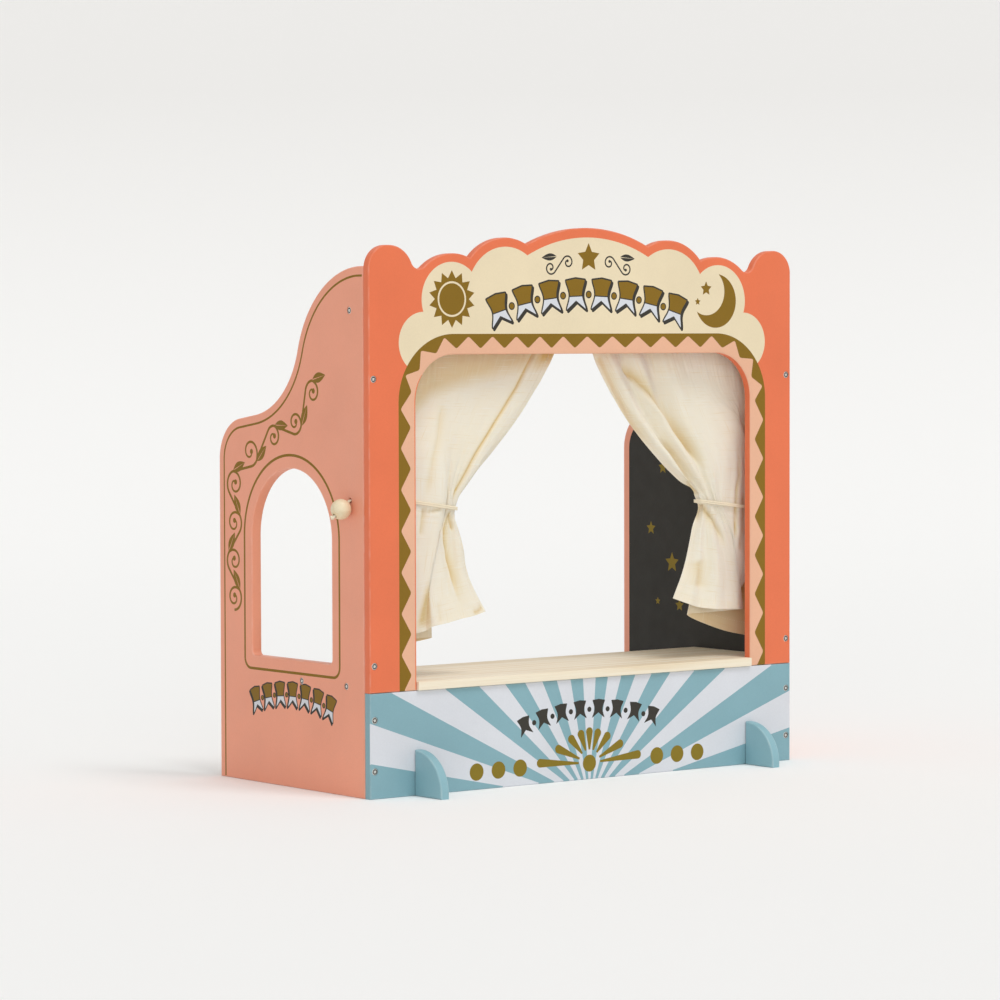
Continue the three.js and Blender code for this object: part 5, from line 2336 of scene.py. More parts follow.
LEFT_NET = (
    Station(
        (0.04, 0.04),
        (1.0, 0.918, 0.836, 0.754, 0.672, 0.59, 0.508, 0.426, 0.344, 0.262, 0.18, 0.098, 0.016),
        (-0.41,) * 13,
    ),
    Station(
        (0.125, 0.125),
        (0.958, 0.88, 0.805, 0.728, 0.65, 0.572, 0.494, 0.416, 0.338, 0.258, 0.178, 0.098, 0.018),
        (-0.45, -0.75, -0.7, -0.6, -0.6, -0.65, -0.6, -0.55, -0.6, -0.6, -0.55, -0.5, -0.4),
    ),
    Station(
        (0.24, 0.23),
        (0.85, 0.775, 0.705, 0.64, 0.577, 0.513, 0.448, 0.382, 0.315, 0.245, 0.172, 0.098, 0.024),
        (-0.5, -1.0, -0.95, -0.85, -0.8, -0.85, -0.85, -0.75, -0.5, -0.7, -0.6, -0.35, -0.1),
    ),
    Station(
        (0.355, 0.33),
        (0.716, 0.654, 0.596, 0.54, 0.488, 0.434, 0.385, 0.315, 0.22, 0.2, 0.18, 0.11, 0.035),
        (-0.4, -1.05, -1.0, -0.9, -0.9, -0.95, -0.95, -1.0, -0.6, -0.1, 0.25, 0.45, 0.3),
    ),
    Station(
        (0.48, 0.44),
        (0.547, 0.515, 0.485, 0.457, 0.43, 0.41, 0.39, 0.25, 0.11, 0.22, 0.36, 0.22, 0.07),
        (-0.15, -0.95, -0.95, -0.85, -0.95, -0.85, -1.0, -1.05, -0.55, 0.05, 0.25, 0.85, 0.6),
    ),
    Station(
        (0.56, 0.522),
        (0.461, 0.45, 0.437, 0.425, 0.412, 0.404, 0.385, 0.245, 0.1, 0.24, 0.42, 0.26, 0.1),
        (-0.05, -0.5, -0.66, -0.74, -0.79, -0.55, -0.86, -0.96, -0.4, 0.1, 0.25, 0.92, 0.5),
    ),
    Station(
        (0.655, 0.66),
        (0.492, 0.46, 0.43, 0.392, 0.356, 0.354, 0.345, 0.22, 0.08, 0.22, 0.385, 0.23, 0.085),
        (-0.25, -0.8, -0.6, -0.9, -1.05, -1.02, -1.07, -1.05, -0.7, 0.2, 0.6, 1.15, 0.95),
    ),
    Station(
        (0.755, 0.81),
        (0.52, 0.478, 0.432, 0.375, 0.308, 0.306, 0.298, 0.2, 0.088, 0.21, 0.365, 0.2, 0.03),
        (-0.45, -0.95, -0.85, -1.15, -1.2, -1.16, -1.2, -1.05, -0.6, 0.3, 0.7, 1.2, 1.0),
    ),
    Station(
        (0.857, 0.865, 0.873, 0.881, 0.889, 0.9, 0.905, 0.915, 0.925, 0.925, 0.925, 0.945, 0.965),
        (0.603, 0.535, 0.462, 0.39, 0.319, 0.296, 0.25, 0.18, 0.095, 0.21, 0.365, 0.2, 0.05),
        (-0.5, -1.05, -1.0, -1.35, -1.25, -0.85, -1.0, -0.9, -0.4, 0.4, 0.6, 1.3, 1.1),
    ),
)

RIGHT_NET = (
    Station(
        (0.04, 0.04),
        (0.986, 0.905, 0.824, 0.743, 0.662, 0.581, 0.5, 0.419, 0.338, 0.257, 0.176, 0.095, 0.016),
        (-0.41,) * 13,
    ),
    Station(
        (0.125, 0.125),
        (0.934, 0.862, 0.79, 0.716, 0.64, 0.563, 0.485, 0.407, 0.329, 0.25, 0.172, 0.095, 0.018),
        (-0.35, -1.0, -0.25, -0.95, -0.1, -0.8, -0.75, -0.7, -0.7, -0.7, -0.7, -0.65, -0.6),
    ),
    Station(
        (0.235, 0.235),
        (0.842, 0.778, 0.714, 0.648, 0.58, 0.508, 0.432, 0.355, 0.28, 0.215, 0.155, 0.09, 0.02),
        (-0.35, -1.1, -0.15, -1.1, -0.05, -0.95, -0.95, -0.9, -0.85, -0.8, -0.75, -0.7, -0.6),
    ),
    Station(
        (0.34, 0.33),
        (0.726, 0.675, 0.62, 0.565, 0.508, 0.443, 0.37, 0.27, 0.155, 0.15, 0.145, 0.09, 0.025),
        (-0.3, -1.1, -0.15, -1.15, -0.15, -1.0, -1.0, -1.0, -0.98, -0.85, -0.75, -0.6, -0.4),
    ),
    Station(
        (0.455, 0.45),
        (0.552, 0.514, 0.472, 0.43, 0.388, 0.34, 0.28, 0.2, 0.1, 0.19, 0.28, 0.15, 0.03),
        (-0.2, -1.05, -0.35, -1.1, -0.45, -1.05, -1.05, -1.05, -1.0, -0.2, 0.1, 0.4, 0.2),
    ),
    Station(
        (0.565, 0.594),
        (0.364, 0.352, 0.335, 0.317, 0.3, 0.283, 0.266, 0.222, 0.09, 0.17, 0.32, 0.17, 0.04),
        (-0.05, -0.6, -0.72, -0.85, -0.84, -0.96, -1.0, -1.1, -1.1, 0.0, 0.25, 0.7, 0.3),
    ),
    Station(
        (0.65, 0.68),
        (0.398, 0.37, 0.342, 0.31, 0.272, 0.235, 0.206, 0.205, 0.09, 0.19, 0.31, 0.17, 0.025),
        (-0.25, -1.0, -0.75, -1.15, -1.0, -1.1, -1.15, -1.25, -1.2, 0.1, 0.3, 0.7, 0.4),
    ),
    Station(
        (0.76, 0.82),
        (0.45, 0.4, 0.35, 0.295, 0.24, 0.19, 0.163, 0.18, 0.12, 0.23, 0.35, 0.18, 0.018),
        (-0.5, -1.25, -0.9, -1.35, -1.05, -1.15, -1.15, -1.0, -0.9, 0.1, 0.3, 0.6, 0.4),
    ),
    Station(
        (0.85, 0.868, 0.88, 0.887, 0.89, 0.892, 0.894, 0.896, 0.898, 0.9, 0.903, 0.955, 0.985),
        (0.512, 0.45, 0.385, 0.315, 0.24, 0.17, 0.13, 0.19, 0.26, 0.34, 0.405, 0.21, 0.018),
        (-0.6, -1.3, -0.95, -1.45, -1.1, -1.2, -0.7, -0.4, -0.3, 0.0, 0.2, 0.6, 0.4),
    ),
)


@dataclass(frozen=True)
class Crease:
    """A crease line on a curtain's front as the audience sees it, from its upper end down, with painted
    shade along its valley.
    """

    line: tuple[tuple[float, float], ...]
    depth: float
    inner: float
    outer: float
    drops: tuple[float, float] = (0.0, 0.0)
    fades: tuple[float, float] = (0.2, 0.2)
    columns: tuple[float, float] = (0.0, 8.0)
    # how strongly the valley is painted in shade
    tint: float = 0.5

    def hollow(self, x: Points, z: Points, column: Points) -> tuple[Points, Points]:
        """The crease's effect on every place of the cloth.

        Args:
            x: how far each place is from the stage's middle.
            z: its height.
            column: its column, in the net's columns.

        Returns:
            How far each place comes forward, and the painted shade there along the crease's valley, from 0
            to 1.
        """
        line = np.array(self.line)
        spans = np.diff(line, axis=0)
        lengths = np.linalg.norm(spans, axis=1)
        runs = travel(line)
        away, side, share = (np.full(x.shape, far) for far in (np.inf, 0.0, 0.0))
        for start, span, length, run in zip(line, spans, lengths, runs):
            t = np.clip(((x - start[0]) * span[0] + (z - start[1]) * span[1]) / length**2, 0, 1)
            dx, dz = x - start[0] - t * span[0], z - start[1] - t * span[1]
            near = np.hypot(dx, dz) < away
            away = np.where(near, np.hypot(dx, dz), away)
            side = np.where(near, span[0] * dz - span[1] * dx, side)
            share = np.where(near, (run + t * length) / runs[-1], share)
        outward = side > 0
        valley = np.exp(-((away / np.where(outward, self.outer, self.inner)) ** 1.4))
        crisp = min(self.inner, self.outer)
        ridge = 0.35 * np.exp(-(((away - 2.3 * crisp) / (1.4 * crisp)) ** 2))
        if self.inner != self.outer:
            ridge = ridge * (outward == (self.outer < self.inner))
        fall = np.where(outward, self.drops[1], self.drops[0])
        fall = fall * (1 - np.exp(-away / 1.6)) * np.exp(-((away / 26.0) ** 2))
        fade = np.clip(share / max(self.fades[0], 1e-3), 0, 1)
        fade = fade * np.clip((1 - share) / max(self.fades[1], 1e-3), 0, 1)
        fade = fade * fade * (3 - 2 * fade)
        low, high = self.columns
        fade = fade * np.clip((column - low) * 3 + 1, 0, 1) * np.clip((high - column) * 3 + 1, 0, 1)
        # The second value is painted shade along the valley.
        return fade * (self.depth * (ridge - valley) - fall), fade * valley * self.tint


LEFT_CREASES = (
    Crease(
        ((52, 452), (57.5, 444), (77.6, 414), (104.3, 381), (132, 345), (160, 303), (163.5, 294)),
        2.2, 1.5, 2.2, (1.2, 0.0), (0.02, 0.1), (0.0, 3.0), 1.0,
    ),
    Crease(
        ((172, 405), (177, 384), (180, 364), (187, 344), (192, 321), (196.4, 298)),
        1.6, 5.0, 4.0, tint=0.3,
    ),
    Crease(((174.3, 290.5), (185.8, 288.6), (195.8, 287.1)), 1.7, 1.5, 2.0),
    Crease(((198.9, 295), (201.5, 277), (204, 262)), 1.8, 3.0, 2.4),
    Crease(
        ((167, 287), (172.5, 269), (172.4, 256), (168.6, 238), (161, 216), (151, 186)),
        4.2, 5.2, 1.8, (0.0, 0.0), (0.06, 0.5), (0.0, 4.3), 1.0,
    ),
    Crease(((165.2, 289), (162.1, 278), (159.5, 266)), 1.6, 1.6, 2.0, columns=(0.0, 4.0), tint=0.8),
    Crease(((184, 197), (182, 186), (181, 174)), 1.0, 3.5, 3.0, (0, 0), (0.3, 0.0), (0.0, 4.0), 0.2),
    Crease(((198, 222), (199, 196), (203, 166)), 0.0, 14.0, 14.0, (0, 0), (0.4, 0.2), (4.3, 6.0), 0.85),
    Crease(((138, 181), (130, 182), (122, 186)), 0.8, 2.5, 2.5, (0, 0), (0.3, 0.0), (0.0, 1.0), 0.7),
)
RIGHT_CREASES = (
    Crease(
        ((64, 440), (72, 431), (87, 420), (108, 400), (130, 378), (145.5, 362), (161, 346), (188, 317)),
        3.6, 2.0, 6.5, (0.0, 0.0), (0.12, 0.25), tint=0.7,
    ),
    Crease(
        ((118, 362), (129.6, 349), (142, 333.5), (153.4, 320), (161, 311), (175, 292)),
        3.6, 2.4, 4.6, (0.0, 0.0), (0.35, 0.05), tint=0.7,
    ),
    Crease(((34, 448), (58, 408), (82, 374), (112, 343)), 1.0, 2.0, 4.0, (2.4, 0.0), (0.05, 0.3)),
    Crease(
        ((229.5, 352), (230.5, 314), (227.3, 301), (225.7, 287), (224.2, 279), (222.8, 244)),
        2.4, 1.5, 1.3, (0.0, 0.0), (0.4, 0.1), tint=0.9,
    ),
    Crease(
        ((235.7, 296), (235.7, 278), (234.3, 260), (230.7, 246), (229, 231)),
        1.2, 1.4, 1.4, (0, 2.0), (0.1, 0.1),
    ),
    Crease(((180.6, 286), (177, 274), (174, 262)), 2.4, 2.2, 2.8, fades=(0.08, 0.5), columns=(0, 5)),
    Crease(
        ((180.6, 286), (190, 272), (198.4, 260.6), (207, 247.4), (213.5, 232)),
        3.0, 5.0, 1.8, (0.0, 0.0), (0.06, 0.6), (0.0, 5.6), 0.7,
    ),
    Crease(((171, 226), (173, 209), (172, 192)), 1.8, 9.0, 9.0, columns=(0, 5), tint=0.5),
)
# The lower edges of the header's painted shadow on each curtain's top, as x and z.
LEFT_SHADE = ((0, 440), (70, 430), (107, 424), (151, 415), (187, 404), (201, 392), (273, 350))
RIGHT_SHADE = ((0, 447), (100, 443), (200, 436), (273, 428))


@dataclass
class Drape:
    """A linen curtain: its sleeve round the rod, its gathers, its folds and its hems."""

    side: Side
    tied: int = 5
    rod_radius: float = 5.0
    clearance: float = 1.0
    cloth: float = 0.9
    seam_drop: float = 13.0
    heading_gap: float = 13.0
    hem_clearance: float = 12.5
    fold_depth: float = 10.0
    shelf_top: float = 116.5
    columns: int = 200
    rows: int = 178
    flat: tuple[float, float] = (0.30, 0.40)
    hem: float = 12.0
    stitch: float = 3.4
    blend_side: float = 150.0
    blend_low: float = 312.0
    gathers: tuple[float, float] = (385.0, 95.0)
    pucker: tuple[float, float, float] = (0.9, 1.6, 2.2)
    settle: float = 26.0
    hem_swell: float = 0.28
    hem_slope: float = 1.2
    stitch_inset: float = 1.6
    # the column from which the back layers are painted in shade
    back_from: float = 8.2

    def __post_init__(self) -> None:
        """Lays the curtain out."""
        left = self.side is Side.LEFT
        self.net, self.creases = (LEFT_NET, LEFT_CREASES) if left else (RIGHT_NET, RIGHT_CREASES)
        # The painted shadow of the header: its lower edges and its strength.
        self.shade, self.dusk = (LEFT_SHADE, 0.55) if left else (RIGHT_SHADE, 0.25)
        self.span = BODY.inner - self.heading_gap
        self.drop = BODY.rod_height - self.shelf_top - self.hem_clearance
        self.middle = self.surface()
        self.hanging = self.shaped()

    def level(self, station: Station) -> Points:
        """A station's places on the right side.

        Args:
            station: the station.

        Returns:
            A place for each of its columns.
        """
        across, depths = np.array(station.across), np.array(station.depths)
        drops = np.array(station.drops)
        if len(drops) == 2:
            share = (across - across[0]) / (across[-1] - across[0])
            drops = drops[0] + share * (drops[1] - drops[0])
        x = BODY.inner - across * self.span
        y = BODY.rod_setback + depths * self.fold_depth
        return np.column_stack((x, y, BODY.rod_height - drops * self.drop))

    def sleeve(self, top: Points) -> Points:
        """The cloth round the rod above a column's top, from its seam over the rod to the front.

        Args:
            top: the column's top.

        Returns:
            The column's places round the rod.
        """
        radius = self.rod_radius + self.clearance + 0.75
        angles = np.radians(np.arange(-30, 211, 10))
        seam = (top[0], top[1] + self.cloth + 0.4, BODY.rod_height - self.seam_drop)
        y = BODY.rod_setback + radius * np.cos(angles)
        z = BODY.rod_height + radius * np.sin(angles)
        return np.vstack((seam, np.column_stack((np.full(len(y), top[0]), y, z))))

    def surface(self) -> Points:
        """The cloth's middle surface on the right side, as rows of places from its seam down.

        Returns:
            Places by row and column.
        """
        levels = np.array([self.level(station) for station in self.net])
        hanging = np.array([spline(levels[:, k], self.rows) for k in range(levels.shape[1])])
        tops = [self.sleeve(column[0]) for column in hanging]
        columns = np.array([np.vstack((t, h)) for t, h in zip(tops, hanging)])
        self.sleeve_rows = len(tops[0])
        rows = columns.transpose(1, 0, 2)
        return np.array([spline(row, self.columns) for row in rows])

    def normals(self, surface: Points) -> Points:
        """Directions out of the surface, towards the audience where it hangs flat."""
        return normalised(np.cross(np.gradient(surface, axis=0), np.gradient(surface, axis=1)))

    @staticmethod
    def drops(surface: Points) -> Points:
        """Each row's mean length down the cloth from the first row."""
        steps = np.linalg.norm(np.diff(surface, axis=0), axis=2).mean(axis=1)
        return np.concatenate(((0.0,), np.cumsum(steps)))

    @property
    def ends(self) -> Points:
        """Two places on the curtain's side, blend_side from the middle at the rod's setback, at the heights
        blend_low and the rod's.
        """
        middle = self.side.value * self.blend_side
        return np.array([(middle, BODY.rod_setback, z) for z in (self.blend_low, BODY.rod_height)])

    def shaped(self) -> Points:
        """The middle surface with gathers at the rod, pinches at the tie and soft unevenness; it also keeps
        each place's painted shade in self.deep.

        Returns:
            Places by row and column.
        """
        surface = self.middle.copy()
        count = surface.shape[1]
        across = np.linspace(0, self.flat[0] / MM, count)
        seed = 3.0 if self.side is Side.LEFT else 8.0
        ripple = np.array([noise.noise(Vector((x / 5.2, seed, 0.0))) for x in across])
        ripple += 0.6 * np.array([noise.noise(Vector((x / 11.0, seed, 4.0))) for x in across])
        height = surface[:, :, 2]
        sleeve = self.sleeve_rows
        outward = normalised(surface[:sleeve, :, 1:] - (BODY.rod_setback, BODY.rod_height))
        mean, swing, most = self.pucker
        lift = np.clip(mean + swing * ripple, 0.0, most)
        surface[1:sleeve, :, 1:] += outward[1:] * lift[None, :, None]
        foot, rise = self.gathers
        fall = np.clip((height[sleeve:] - foot) / rise, 0.0, 1.0) ** 1.5
        surface[sleeve:, :, 1] -= fall * lift
        surface[0, :, 1] -= fall[0] * lift
        normal = self.normals(surface)[sleeve:]
        tie = round(self.tied * self.rows / (len(self.net) - 1))
        below = self.drops(surface[sleeve:])
        below = (below - below[tie])[:, None]
        amount = self.unevenness(across, seed) * (1 - 0.5 * np.exp(-np.abs(below) / 20))
        amount += self.drag_folds(across[None, :], below, int(seed))
        amount *= np.clip((below - below[0]) / self.settle, 0, 1)
        band = np.clip(1 - across[None, :] / self.hem, 0, 1)
        above = np.clip(-below / 40.0, 0, 1) * np.clip((below - below[0]) / 40.0, 0, 1)
        amount -= above * 0.6 * band
        x, z = surface[sleeve:, :, 0], surface[sleeve:, :, 2]
        column = np.broadcast_to(across * 12 / across[-1], x.shape)
        # deep collects painted shade from 0 to 1: the creases' valleys, the header's shadow on the top and
        # the back layers.
        deep = np.zeros(x.shape)
        for crease in self.creases:
            rise, hollow = crease.hollow(x, z, column)
            amount += rise
            deep = np.maximum(deep, hollow)
        # Painted shadow of the header on the curtain's top, stronger at the leading edge and, on the right
        # curtain, weaker towards the outer edge.
        bounds = np.array(self.shade)
        border = np.interp(x, bounds[:, 0], bounds[:, 1])
        dusk = np.clip((z - border + 4) / 16, 0, 1) * self.dusk
        dusk *= 1 + 0.9 * np.clip((1.1 - column) * 3, 0, 1)
        if self.side is Side.RIGHT:
            dusk *= np.clip((6.5 - column) / 2.5, 0.1, 1)
        # Painted shade on the back layers below the tie.
        behind = 0.6 * np.clip((column - self.back_from) / 0.5, 0, 1) * np.clip(below / 30, 0, 1)
        deep = np.maximum(np.maximum(deep, dusk), behind)
        self.deep = np.vstack((np.zeros((sleeve, count)), deep))
        surface[sleeve:] += normal * amount[:, :, None]
        return surface

    def unevenness(self, across: Points, seed: float) -> Points:
        """Soft random hollows and swells down the cloth, in millimetres.

        Args:
            across: how far along the flat cloth each column is.
            seed: the noise's slice.

        Returns:
            A rise by row and column.
        """
        return np.array(
            [
                [
                    0.7 * noise.noise(Vector((x / 30.0, r / 21.0, seed)))
                    + 0.4 * noise.noise(Vector((x / 10.0, r / 8.0, seed + 5)))
                    for x in across
                ]
                for r in range(self.rows + 1)
            ]
        )

    @staticmethod
    def drag_folds(across: Points, below: Points, seed: int) -> Points:
        """Small folds that run up and down from the tie and widen as they fade.

        Args:
            across: how far along the flat cloth each column is.
            below: how far under the tie each row is.
            seed: the random draws' seed.

        Returns:
            A rise by row and column.
        """
        draw = np.random.default_rng(seed)
        amount = np.zeros((below.shape[0], across.shape[1]))
        for middle in np.arange(7.0, 295.0, 8.0):
            spot = middle + draw.uniform(-3.0, 3.0)
            size = draw.uniform(0.3, 0.85) * draw.choice((-1.0, 1.0))
            reach = np.where(below < 0, draw.uniform(20, 75), draw.uniform(18, 65))
            width = 2.3 + 0.075 * np.abs(below)
            fade = np.exp(-((np.abs(below) / reach) ** 1.3))
            amount += size * fade * np.exp(-(((across - spot) / width) ** 2))
        for drop in (6.0, 12.5):
            along = 0.5 + 0.5 * np.sin(across / 23.0 + drop)
            amount -= 0.55 * along * np.exp(-(((below - drop - across / 60.0) / 1.6) ** 2))
        return amount

    def build(self) -> None:
        """Makes the cloth and its stitches."""
        surface = self.hanging
        normal = self.normals(surface)
        height, width = surface.shape[:2]
        along = self.drops(surface)
        across = np.linspace(0, self.flat[0] / MM, width)
        foot = np.clip((along - (along[-1] - self.hem)) / self.hem_slope, 0, 1)[:, None]
        edge = np.clip((self.hem - across) / self.hem_slope, 0, 1)[None, :]
        thick = self.cloth / 2 + self.hem_swell * np.maximum(foot, edge)
        front = surface + normal * thick[:, :, None]
        back = surface - normal * thick[:, :, None]
        flip = np.array((self.side.value, 1.0, 1.0))
        points = np.vstack((front.reshape(-1, 3), back.reshape(-1, 3))) * flip
        faces = self.faces(height, width)
        if self.side is Side.LEFT:
            faces = [face[::-1] for face in faces]
        name = f"{self.side.word}_drape_cloth"
        made = piece(name, points, faces, [LINEN])
        flat = np.stack(np.meshgrid(across, along), axis=2).reshape(-1, 2) * MM
        flat = np.vstack((flat, flat))
        layer = made.data.uv_layers.new(name="cloth")
        corners = np.zeros(len(made.data.loops), np.int32)
        made.data.loops.foreach_get("vertex_index", corners)
        layer.uv.foreach_set("vector", flat[corners].astype(np.float32).ravel())
        # The painted shade, full on the front face and half on the back face.
        fold = made.data.attributes.new("fold", "FLOAT", "POINT")
        shade_values = np.concatenate((self.deep.ravel(), 0.5 * self.deep.ravel()))
        fold.data.foreach_set("value", shade_values.astype(np.float32))
        smooth(made, 60.0)
        body = f"{self.side.word}_drape"
        bend(made, body, self.ends, "linen_cloth", f"{self.side.word}_curtain")
        seams = self.seams(front, back, normal, along, across)
        bend(seams, body, self.ends, "cotton_cord")
        area = self.area(surface)
        log.info("%s: %.4f m2 of cloth, %.0f mm long", name, area, along[-1])

    @staticmethod
    def area(surface: Points) -> float:
        """The surface's area in square metres.

        Args:
            surface: places by row and column.

        Returns:
            The area.
        """
        a = surface[1:, :-1] - surface[:-1, :-1]
        b = surface[:-1, 1:] - surface[:-1, :-1]
        return float(np.linalg.norm(np.cross(a, b), axis=2).sum()) * MM**2

    @staticmethod
    def faces(height: int, width: int) -> list[tuple[int, ...]]:
        """The faces of a closed sheet whose front rows come before its back rows.

        Args:
            height: how many rows.
            width: how many columns.

        Returns:
            The quads.
        """
        grid = np.arange(height * width).reshape(height, width)
        back = grid + height * width
        quads = [
            np.stack((grid[:-1, :-1], grid[1:, :-1], grid[1:, 1:], grid[:-1, 1:]), axis=-1),
            np.stack((back[:-1, :-1], back[:-1, 1:], back[1:, 1:], back[1:, :-1]), axis=-1),
            np.stack((grid[:-1, 0], back[:-1, 0], back[1:, 0], grid[1:, 0]), axis=-1),
            np.stack((grid[1:, -1], back[1:, -1], back[:-1, -1], grid[:-1, -1]), axis=-1),
            np.stack((grid[0, 1:], back[0, 1:], back[0, :-1], grid[0, :-1]), axis=-1),
            np.stack((grid[-1, :-1], back[-1, :-1], back[-1, 1:], grid[-1, 1:]), axis=-1),
        ]
        return [tuple(map(int, q)) for part in quads for q in part.reshape(-1, 4)]

    def seams(
        self, front: Points, back: Points, normal: Points, along: Points, across: Points
    ) -> Thing:
        """The stitches along the hem, the leading edge and the sleeve.

        Args:
            front: the front face's places.
            back: the back face's places.
            normal: the cloth's directions outward.
            along: each row's length down the cloth.
            across: each column's length along the flat cloth.

        Returns:
            The stitches as one piece.
        """
        row = int(np.argmin(np.abs(along - (along[-1] - self.hem + self.stitch_inset))))
        column = int(np.argmin(np.abs(across - (self.hem - self.stitch_inset))))
        sleeve = self.sleeve_rows + 1
        middles, headings, facings = [], [], []
        for face, sign in ((front, 1.0), (back, -1.0)):
            lines = [
                (face[row, :], normal[row, :]),
                (face[self.sleeve_rows :, column], normal[self.sleeve_rows :, column]),
            ]
            if sign > 0:
                lines.append((face[sleeve, :], normal[sleeve, :]))
            for line, up in lines:
                runs = travel(line)
                spots = np.arange(self.stitch, runs[-1] - self.stitch, self.stitch)
                middles.append(sampled(line, runs, spots))
                headings.append(sampled(line, runs, spots + 1) - middles[-1])
                facings.append(sampled(up, runs, spots) * sign)
        flip = np.array((self.side.value, 1.0, 1.0))
        stacked = [np.vstack(part) * flip for part in (middles, headings, facings)]
        return stitches(f"{self.side.word}_drape_stitches", *stacked)


@dataclass
class Tie:
    """The doubled cord round a curtain's waist, held taut from the hole in the side board."""

    drape: Drape
    lap: float = 1.75
    spread: float = 0.92
    hug: float = 1.7
    beside: float = 1.05
    samples: int = 260

    def build(self) -> Thing:
        """The two strands round the waist.

        Returns:
            The cord, dressed.
        """
        drape, side = self.drape, self.drape.side
        waist = drape.level(drape.net[drape.tied])
        row = drape.sleeve_rows + round(drape.tied * drape.rows / (len(drape.net) - 1))
        section = drape.hanging[row - 1 : row + 2].reshape(-1, 3)
        outline = np.vstack([circle(p[:2], self.hug, 12) for p in section])
        hole = np.array((BODY.inner + self.lap, BODY.rod_setback))
        taut = self.hull(np.vstack((outline, hole)))
        start = int(np.argmax(taut[:, 0]))
        loop = np.vstack((np.roll(taut, -start, axis=0), hole))
        near, far = waist[0], waist[np.argmax(waist[:, 0])]
        lead, outer = near[2], waist[-1][2]
        x = loop[:, 0]
        z = np.interp(x, (near[0], far[0], BODY.inner), (lead, outer, BODY.pull_height))
        runs = travel(loop)
        share = runs / runs[-1]
        split = np.clip(np.minimum(share, 1 - share) * 12, 0, 1)
        paths = []
        for sign in (-1.0, 1.0):
            wave = 0.25 * np.sin(share * 23.0 + sign)
            y = loop[:, 1] + (1 - split) * np.where(share < 0.5, -1.0, 1.0) * self.beside
            line = np.column_stack((x, y, z + sign * self.spread * (1 + 0.2 * wave)))
            even = sampled(line, runs, np.linspace(0, runs[-1], self.samples))
            paths.append(even * (side.value, 1.0, 1.0))
        made = Twist().piece(f"{side.word}_tie", paths)
        return bend(made, f"{side.word}_drape", drape.ends, "cotton_cord", f"{side.word}_tie_cord")

    @staticmethod
    def hull(points: Points) -> Points:
        """The convex hull, counterclockwise.

        Args:
            points: the flat points.

        Returns:
            The hull's corners.
        """
        ordered = sorted(map(tuple, points))
        halves = []
        for run in (ordered, ordered[::-1]):
            half: list[tuple[float, float]] = []
            for p in run:
                while len(half) > 1:
                    (ax, ay), (bx, by) = half[-2], half[-1]
                    if (bx - ax) * (p[1] - ay) - (by - ay) * (p[0] - ax) > 0:
                        break
                    half.pop()
                half.append(p)
            halves += half[:-1]
        return np.array(halves)


# Studio


@dataclass(frozen=True)
class Camera:
    """The camera at the photograph's place and angle."""

    eye: tuple[float, float, float] = (-2.498591, -3.181588, 0.467090)
    yaw: float = -37.80195
    dip: float = 2.48685
    roll: float = -0.15148
    lens: float = 135.432
    sensor: float = 36.0
    clip: tuple[float, float] = (0.1, 60.0)

    def build(self) -> Thing:
        """Makes it the scene's camera.

        Returns:
            The camera.
        """
        yaw, dip, roll = (math.radians(a) for a in (self.yaw, self.dip, self.roll))
        turn = Matrix.Rotation(yaw, 4, "Z") @ Matrix.Rotation(math.pi / 2 - dip, 4, "X")
        data = bpy.data.cameras.new("camera")
        data.lens, data.sensor_width = self.lens, self.sensor
        data.clip_start, data.clip_end = self.clip
        camera = placed("camera", data)
        camera.matrix_world = Matrix.Translation(self.eye) @ turn @ Matrix.Rotation(roll, 4, "Z")
        bpy.context.scene.camera = camera
        return camera


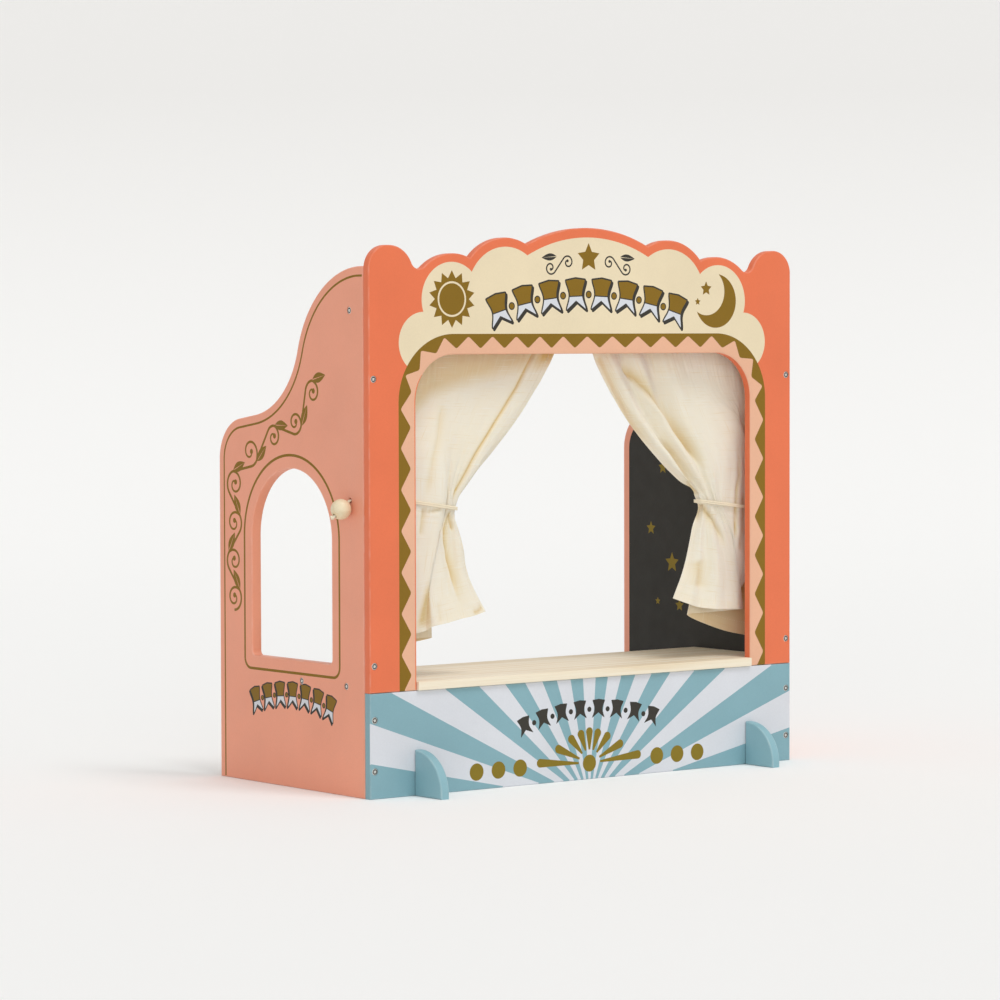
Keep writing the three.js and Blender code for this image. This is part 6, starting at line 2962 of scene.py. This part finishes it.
@dataclass(frozen=True)
class Studio:
    """A pale floor that sweeps up into a backdrop, and soft light."""

    floor_hue: str = "#fdfdfc"
    wall_hue: str = "#ebeae8"
    wall: float = 11.0
    sweep: float = 8.0
    half: float = 14.0
    near: float = -9.0
    tall: float = 9.0
    blend_height: float = 1.2
    far_hue: str = "#ececea"
    world: float = 0.487
    key_from: tuple[float, float, float] = (0.05, -0.45, 0.89)
    key_level: float = 0.40
    key_spread: float = 26.0
    fill_from: tuple[float, float, float] = (-0.55, -0.80, 0.25)
    fill_level: float = 0.15
    fill_spread: float = 40.0

    def backdrop(self) -> None:
        """The floor and wall, as one smooth sheet that isn't part of the object."""
        profile = [(self.near, 0.0), (self.wall - self.sweep, 0.0)]
        turn = np.radians(np.linspace(-90, 0, 25))
        profile += list((self.wall - self.sweep, self.sweep) + self.sweep * unit(turn))
        profile.append((self.wall, self.tall))
        points = [(x, y, z) for y, z in profile for x in (-self.half, self.half)]
        count = len(profile) - 1
        faces = [(2 * i, 2 * i + 1, 2 * i + 3, 2 * i + 2) for i in range(count)]
        mesh = bpy.data.meshes.new("backdrop")
        mesh.from_pydata(points, [], faces)
        mesh.shade_smooth()
        material = bpy.data.materials.new("backdrop")
        material.use_nodes = True
        shader = material.node_tree.nodes["Principled BSDF"]
        tree = Tree(material.node_tree)
        place = tree.place()
        height = tree.add("ShaderNodeSeparateXYZ", {0: place}).outputs["Z"]
        risen = tree.ranged(height, 0.0, self.blend_height, (0.0, 1.0))
        hue = tree.mix(risen, linear(self.floor_hue), linear(self.wall_hue))
        tree.tree.links.new(hue, shader.inputs["Base Color"])
        shader.inputs["Roughness"].default_value = 0.9
        shader.inputs["Specular IOR Level"].default_value = 0.1
        mesh.materials.append(material)
        made = placed("backdrop", mesh)
        made.rotation_euler.z = math.radians(Camera().yaw)
        made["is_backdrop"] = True

    def lamp(self, name: str, source: Sequence[float], level: float, spread: float) -> None:
        """A broad soft light.

        Args:
            name: what the lamp is called.
            source: the direction that the light comes from.
            level: its light on a face that looks straight at it, 1 for a colour as written.
            spread: how wide it looks, in degrees.
        """
        data = bpy.data.lights.new(name, "SUN")
        data.energy, data.angle = level * math.pi, math.radians(spread)
        made = placed(name, data)
        made.rotation_euler = (-Vector(source)).to_track_quat("-Z", "Y").to_euler()

    def build(self) -> None:
        """Sets the backdrop, the lights and the world."""
        self.backdrop()
        self.lamp("key", self.key_from, self.key_level, self.key_spread)
        self.lamp("fill", self.fill_from, self.fill_level, self.fill_spread)
        world = bpy.data.worlds.new("studio")
        world.use_nodes = True
        tree = Tree(world.node_tree)
        sky = world.node_tree.nodes["Background"]
        sky.inputs["Color"].default_value = (1.0, 0.995, 0.985, 1.0)
        sky.inputs["Strength"].default_value = self.world
        shown = tree.out("ShaderNodeBackground", {0: linear(self.far_hue), 1: 1.0})
        rays = tree.add("ShaderNodeLightPath").outputs
        seen = tree.math("MAXIMUM", rays["Is Camera Ray"], rays["Is Glossy Ray"])
        seen = tree.math("MAXIMUM", seen, rays["Is Transmission Ray"])
        both = tree.out("ShaderNodeMixShader", {0: seen, 1: sky.outputs[0], 2: shown})
        tree.tree.links.new(both, world.node_tree.nodes["World Output"].inputs[0])
        bpy.context.scene.world = world
        bpy.context.scene.view_settings.view_transform = "Standard"


def corners() -> list[list[float]]:
    """The shown object's lowest and highest corner, as plain lists."""
    return [list(corner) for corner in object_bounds()]


def main() -> None:
    """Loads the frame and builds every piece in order."""
    logging.basicConfig(level=logging.INFO, format="%(name)s: %(message)s")
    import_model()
    SITE.read()
    Camera().build()
    Studio().build()
    ArchBoard().build()
    LowerBoard().build()
    for side in SIDES:
        SideBoard(side).build()
        Foot(side).build()
    StageShelf().build()
    Rod().build()
    Screws().build()
    for side in SIDES:
        drape = Drape(side)
        drape.build()
        Tie(drape).build()
        Pull(side).build()


if __name__ == "__main__":
    main()
